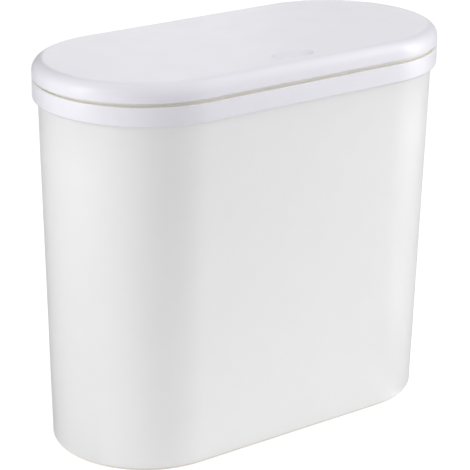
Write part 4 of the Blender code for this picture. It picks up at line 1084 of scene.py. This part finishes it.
def build_pieces():
    """Make every fine piece, finish it and put it in the place of its CAD node."""
    # The second colour given to each moulded plastic is its painted crevice light and shade
    bucket_white = moulded_plastic("injection-moulded polypropylene, satin white",
                                   "#ECECEC", "#D8CFBC", "#DFDEDA",
                                   roughness=0.36, grain_mm=1.1, grain_depth=0.00002)
    lid_white = moulded_plastic("injection-moulded ABS, semi-gloss white",
                                "#EAE9EF", "#F1EEDC", "#DDDDDC",
                                roughness=0.33, grain_mm=0.9, grain_depth=0.000012)
    acetal = moulded_plastic("moulded acetal, natural", "#EDEBE2", "#D6CDB6", "#DAD6C8",
                             roughness=0.34, grain_mm=0.5, grain_depth=0.00001)
    latch_grey = moulded_plastic("moulded ABS, grey", "#9FA2A6", "#85837E", "#B4B5B6",
                                 roughness=0.45, grain_mm=0.5, grain_depth=0.00002)
    steel = spring_steel_wire("drawn spring steel wire")
    zinc = zinc_plated_steel("zinc-plated steel, passivated")
    rubber = moulded_elastomer("moulded elastomer, clear grey")

    place_piece(make_bucket(), "bucket", "bucket_body", bucket_white)
    place_piece(make_collar(), "collar", "collar_body", lid_white)
    place_piece(make_lid_shell(), "lid_shell", "lid_body", lid_white)
    for node, body, slot, material in (
            ("striker", "lid_body", "acetal", acetal),
            ("latch_housing", "collar_body", "latch_plastic", latch_grey),
            ("latch_cover", "collar_body", "latch_plastic", latch_grey),
            ("latch_slider", "latch_body", "acetal", acetal),
            ("latch_claws", "latch_body", "acetal", acetal)):
        place_piece(make_soft_copy(f"{node}_moulding", node), node, body, material)
    place_latch_wire(make_latch_spring(), "latch_spring", steel)
    place_latch_wire(make_cam_follower(), "cam_follower", steel)
    screws = (("latch", EAR_SCREW_X, EAR_BOTTOM, LATCH_SCREW_LENGTH, Matrix.Identity(4),
               "collar_body"),
              ("striker", STRIKER_SCREW_X, STRIKER_PLATE_BOTTOM, STRIKER_SCREW_LENGTH, LID_TURN,
               "lid_body"))
    for side, side_name in ((-1, "left"), (1, "right")):
        pin = make_hinge_pin(side, side_name)
        place_piece(pin, f"hinge_pin_{side_name}", "collar_body", steel)
        coil, lid_leg = make_torsion_spring(side, side_name)
        place_piece(coil, f"torsion_spring_{side_name}", "collar_body", steel)
        finish_piece(lid_leg, steel)
        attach(lid_leg, "lid_body")
        for use, x, plate_bottom, length, turn, body in screws:
            node = f"{use}_screw_{side_name}"
            screw = make_screw(f"{node}_steel", (side * x, LATCH_Y), plate_bottom - SEAT_GAP,
                               length, turn)
            place_piece(screw, node, body, zinc)
    for number, centre in enumerate(bumper_places(), start=1):
        place_piece(make_bumper(number, centre), f"lid_bumper_{number}", "collar_body",
                    rubber)


def direction(azimuth, elevation):
    """Unit vector from the bin outwards, azimuth 0 at its front."""
    return Vector((math.sin(azimuth) * math.cos(elevation),
                   -math.cos(azimuth) * math.cos(elevation), math.sin(elevation)))


def facing_back(away):
    """Turn of a camera, lamp or card that looks back along a direction."""
    return away.to_track_quat("Z", "Y").to_matrix().to_4x4()


def set_camera():
    """Camera at the photograph's viewpoint, with its small shift and roll."""
    back = direction(CAMERA_AZIMUTH, CAMERA_ELEVATION)
    data = bpy.data.cameras.new("camera")
    data.sensor_width = SENSOR_MM
    data.lens = CAMERA_FOCAL_PIXELS / PHOTO_PIXELS * SENSOR_MM
    data.shift_x = (PHOTO_PIXELS / 2 - CAMERA_CENTRE_PIXELS[0]) / PHOTO_PIXELS
    data.shift_y = (CAMERA_CENTRE_PIXELS[1] - PHOTO_PIXELS / 2) / PHOTO_PIXELS
    camera = link_object("camera", data)
    camera.matrix_world = (Matrix.Translation(CAMERA_TARGET + back * CAMERA_DISTANCE)
                           @ facing_back(back) @ Matrix.Rotation(CAMERA_ROLL, 4, "Z"))
    bpy.context.scene.camera = camera


def add_softbox(name, azimuth, elevation, distance, width, height, watts):
    """A rectangular softbox that faces the middle of the bin."""
    away = direction(math.radians(azimuth), math.radians(elevation))
    data = bpy.data.lights.new(name, "AREA")
    data.shape = "RECTANGLE"
    data.size = width
    data.size_y = height
    data.energy = watts
    lamp = link_object(name, data)
    lamp.matrix_world = Matrix.Translation(CAMERA_TARGET + away * distance) @ facing_back(away)


def link_card(name, width, length, placing, material, darkens=True, shadow=True):
    """A dark card out of the camera's sight, which draws the white bin's outline."""
    mesh = bmesh.new()
    bmesh.ops.create_grid(mesh, x_segments=1, y_segments=1, size=1 / 2)
    mesh.transform(Matrix.Diagonal((width, length, 1, 1)))
    card = link_mesh(name, mesh)
    card.data.materials.append(material)
    card.matrix_world = placing
    card.visible_camera = False
    card.visible_diffuse = darkens
    card.visible_shadow = shadow


def felt_on_card(name, one_sided):
    """Dark felt; one-sided felt is clear from beneath, so the floor under a card stays light."""
    felt, tree, shader, place = new_material(name)
    pile = noise(tree, place, size_mm=2, detail=2.0)
    tree.links.new(relief(tree, pile, strength=0.3, depth=0.0003), shader.inputs["Normal"])
    shader.inputs["Base Color"].default_value = linear_colour("#2F2F30")
    shader.inputs["Roughness"].default_value = 0.9
    if one_sided:
        beneath = add_node(tree, "NewGeometry", {}).outputs["Backfacing"]
        clear = add_node(tree, "BsdfTransparent", {})
        mix = add_node(tree, "MixShader", {0: beneath, 1: shader.outputs["BSDF"],
                                           2: clear.outputs["BSDF"]})
        show(tree, mix)
    return felt


def seen_directly(tree):
    """A socket that is 1 on rays that see the surroundings, also by way of gloss or glass."""
    rays = add_node(tree, "LightPath", {}).outputs
    seen = calculate(tree, "MAXIMUM", rays["Is Camera Ray"], rays["Is Glossy Ray"])
    return calculate(tree, "MAXIMUM", seen, rays["Is Transmission Ray"])


def studio_paper(name):
    """Matt white paper that is lifted towards white where it is seen, and lights the bin less."""
    material, tree, shader, place = new_material(name)
    tree.nodes.remove(shader)
    fibres = noise(tree, place, size_mm=1.5, detail=3.0)
    normal = relief(tree, fibres, strength=0.1, depth=0.00005)
    paper = add_node(tree, "BsdfDiffuse", {"Color": "#F2F2F2", "Normal": normal})
    lift = calculate(tree, "MULTIPLY", seen_directly(tree), FLOOR_LIFT)
    glow = add_node(tree, "Emission", {"Color": WHITE, "Strength": lift})
    both = add_node(tree, "AddShader", {0: paper.outputs["BSDF"], 1: glow.outputs["Emission"]})
    show(tree, both)
    return material


def set_stage():
    """Pale floor, white surroundings, soft studio light and dark cards."""
    world = bpy.data.worlds.new("studio")
    bpy.context.scene.world = world
    world.use_nodes = True
    tree = world.node_tree
    tree.nodes.clear()
    fill = add_node(tree, "Background", {"Color": FILL_COLOUR, "Strength": WORLD_FILL})
    white = add_node(tree, "Background", {"Color": WHITE, "Strength": 1.0})
    mix = add_node(tree, "MixShader", {0: seen_directly(tree), 1: fill.outputs["Background"],
                                       2: white.outputs["Background"]})
    add_node(tree, "OutputWorld", {"Surface": mix.outputs["Shader"]})

    mesh = bmesh.new()
    bmesh.ops.create_grid(mesh, x_segments=FLOOR_CELLS, y_segments=FLOOR_CELLS, size=FLOOR_HALF)
    floor = link_mesh("floor", mesh)
    floor.data.materials.append(studio_paper("matt white studio paper"))

    for name, softbox in SOFTBOXES.items():
        add_softbox(name, *softbox)
    felt = felt_on_card("dark felt on card", one_sided=False)
    for name, (azimuth, distance, width, height) in CARDS.items():
        away = direction(math.radians(azimuth), 0)
        centre = away * distance + Vector((0, 0, height / 2 + CARD_LIFT))
        link_card(name, width, height, Matrix.Translation(centre) @ facing_back(away), felt)
    felt = felt_on_card("dark felt seen from above", one_sided=True)
    for name, (x, y, turn, width, length, darkens) in FLOOR_CARDS.items():
        placing = (Matrix.Translation((x, y, CARD_LIFT))
                   @ Matrix.Rotation(math.radians(turn), 4, "Z"))
        link_card(name, width, length, placing, felt, darkens, shadow=False)
    bpy.context.scene.view_settings.view_transform = "Standard"


set_camera()
build_pieces()
set_stage()
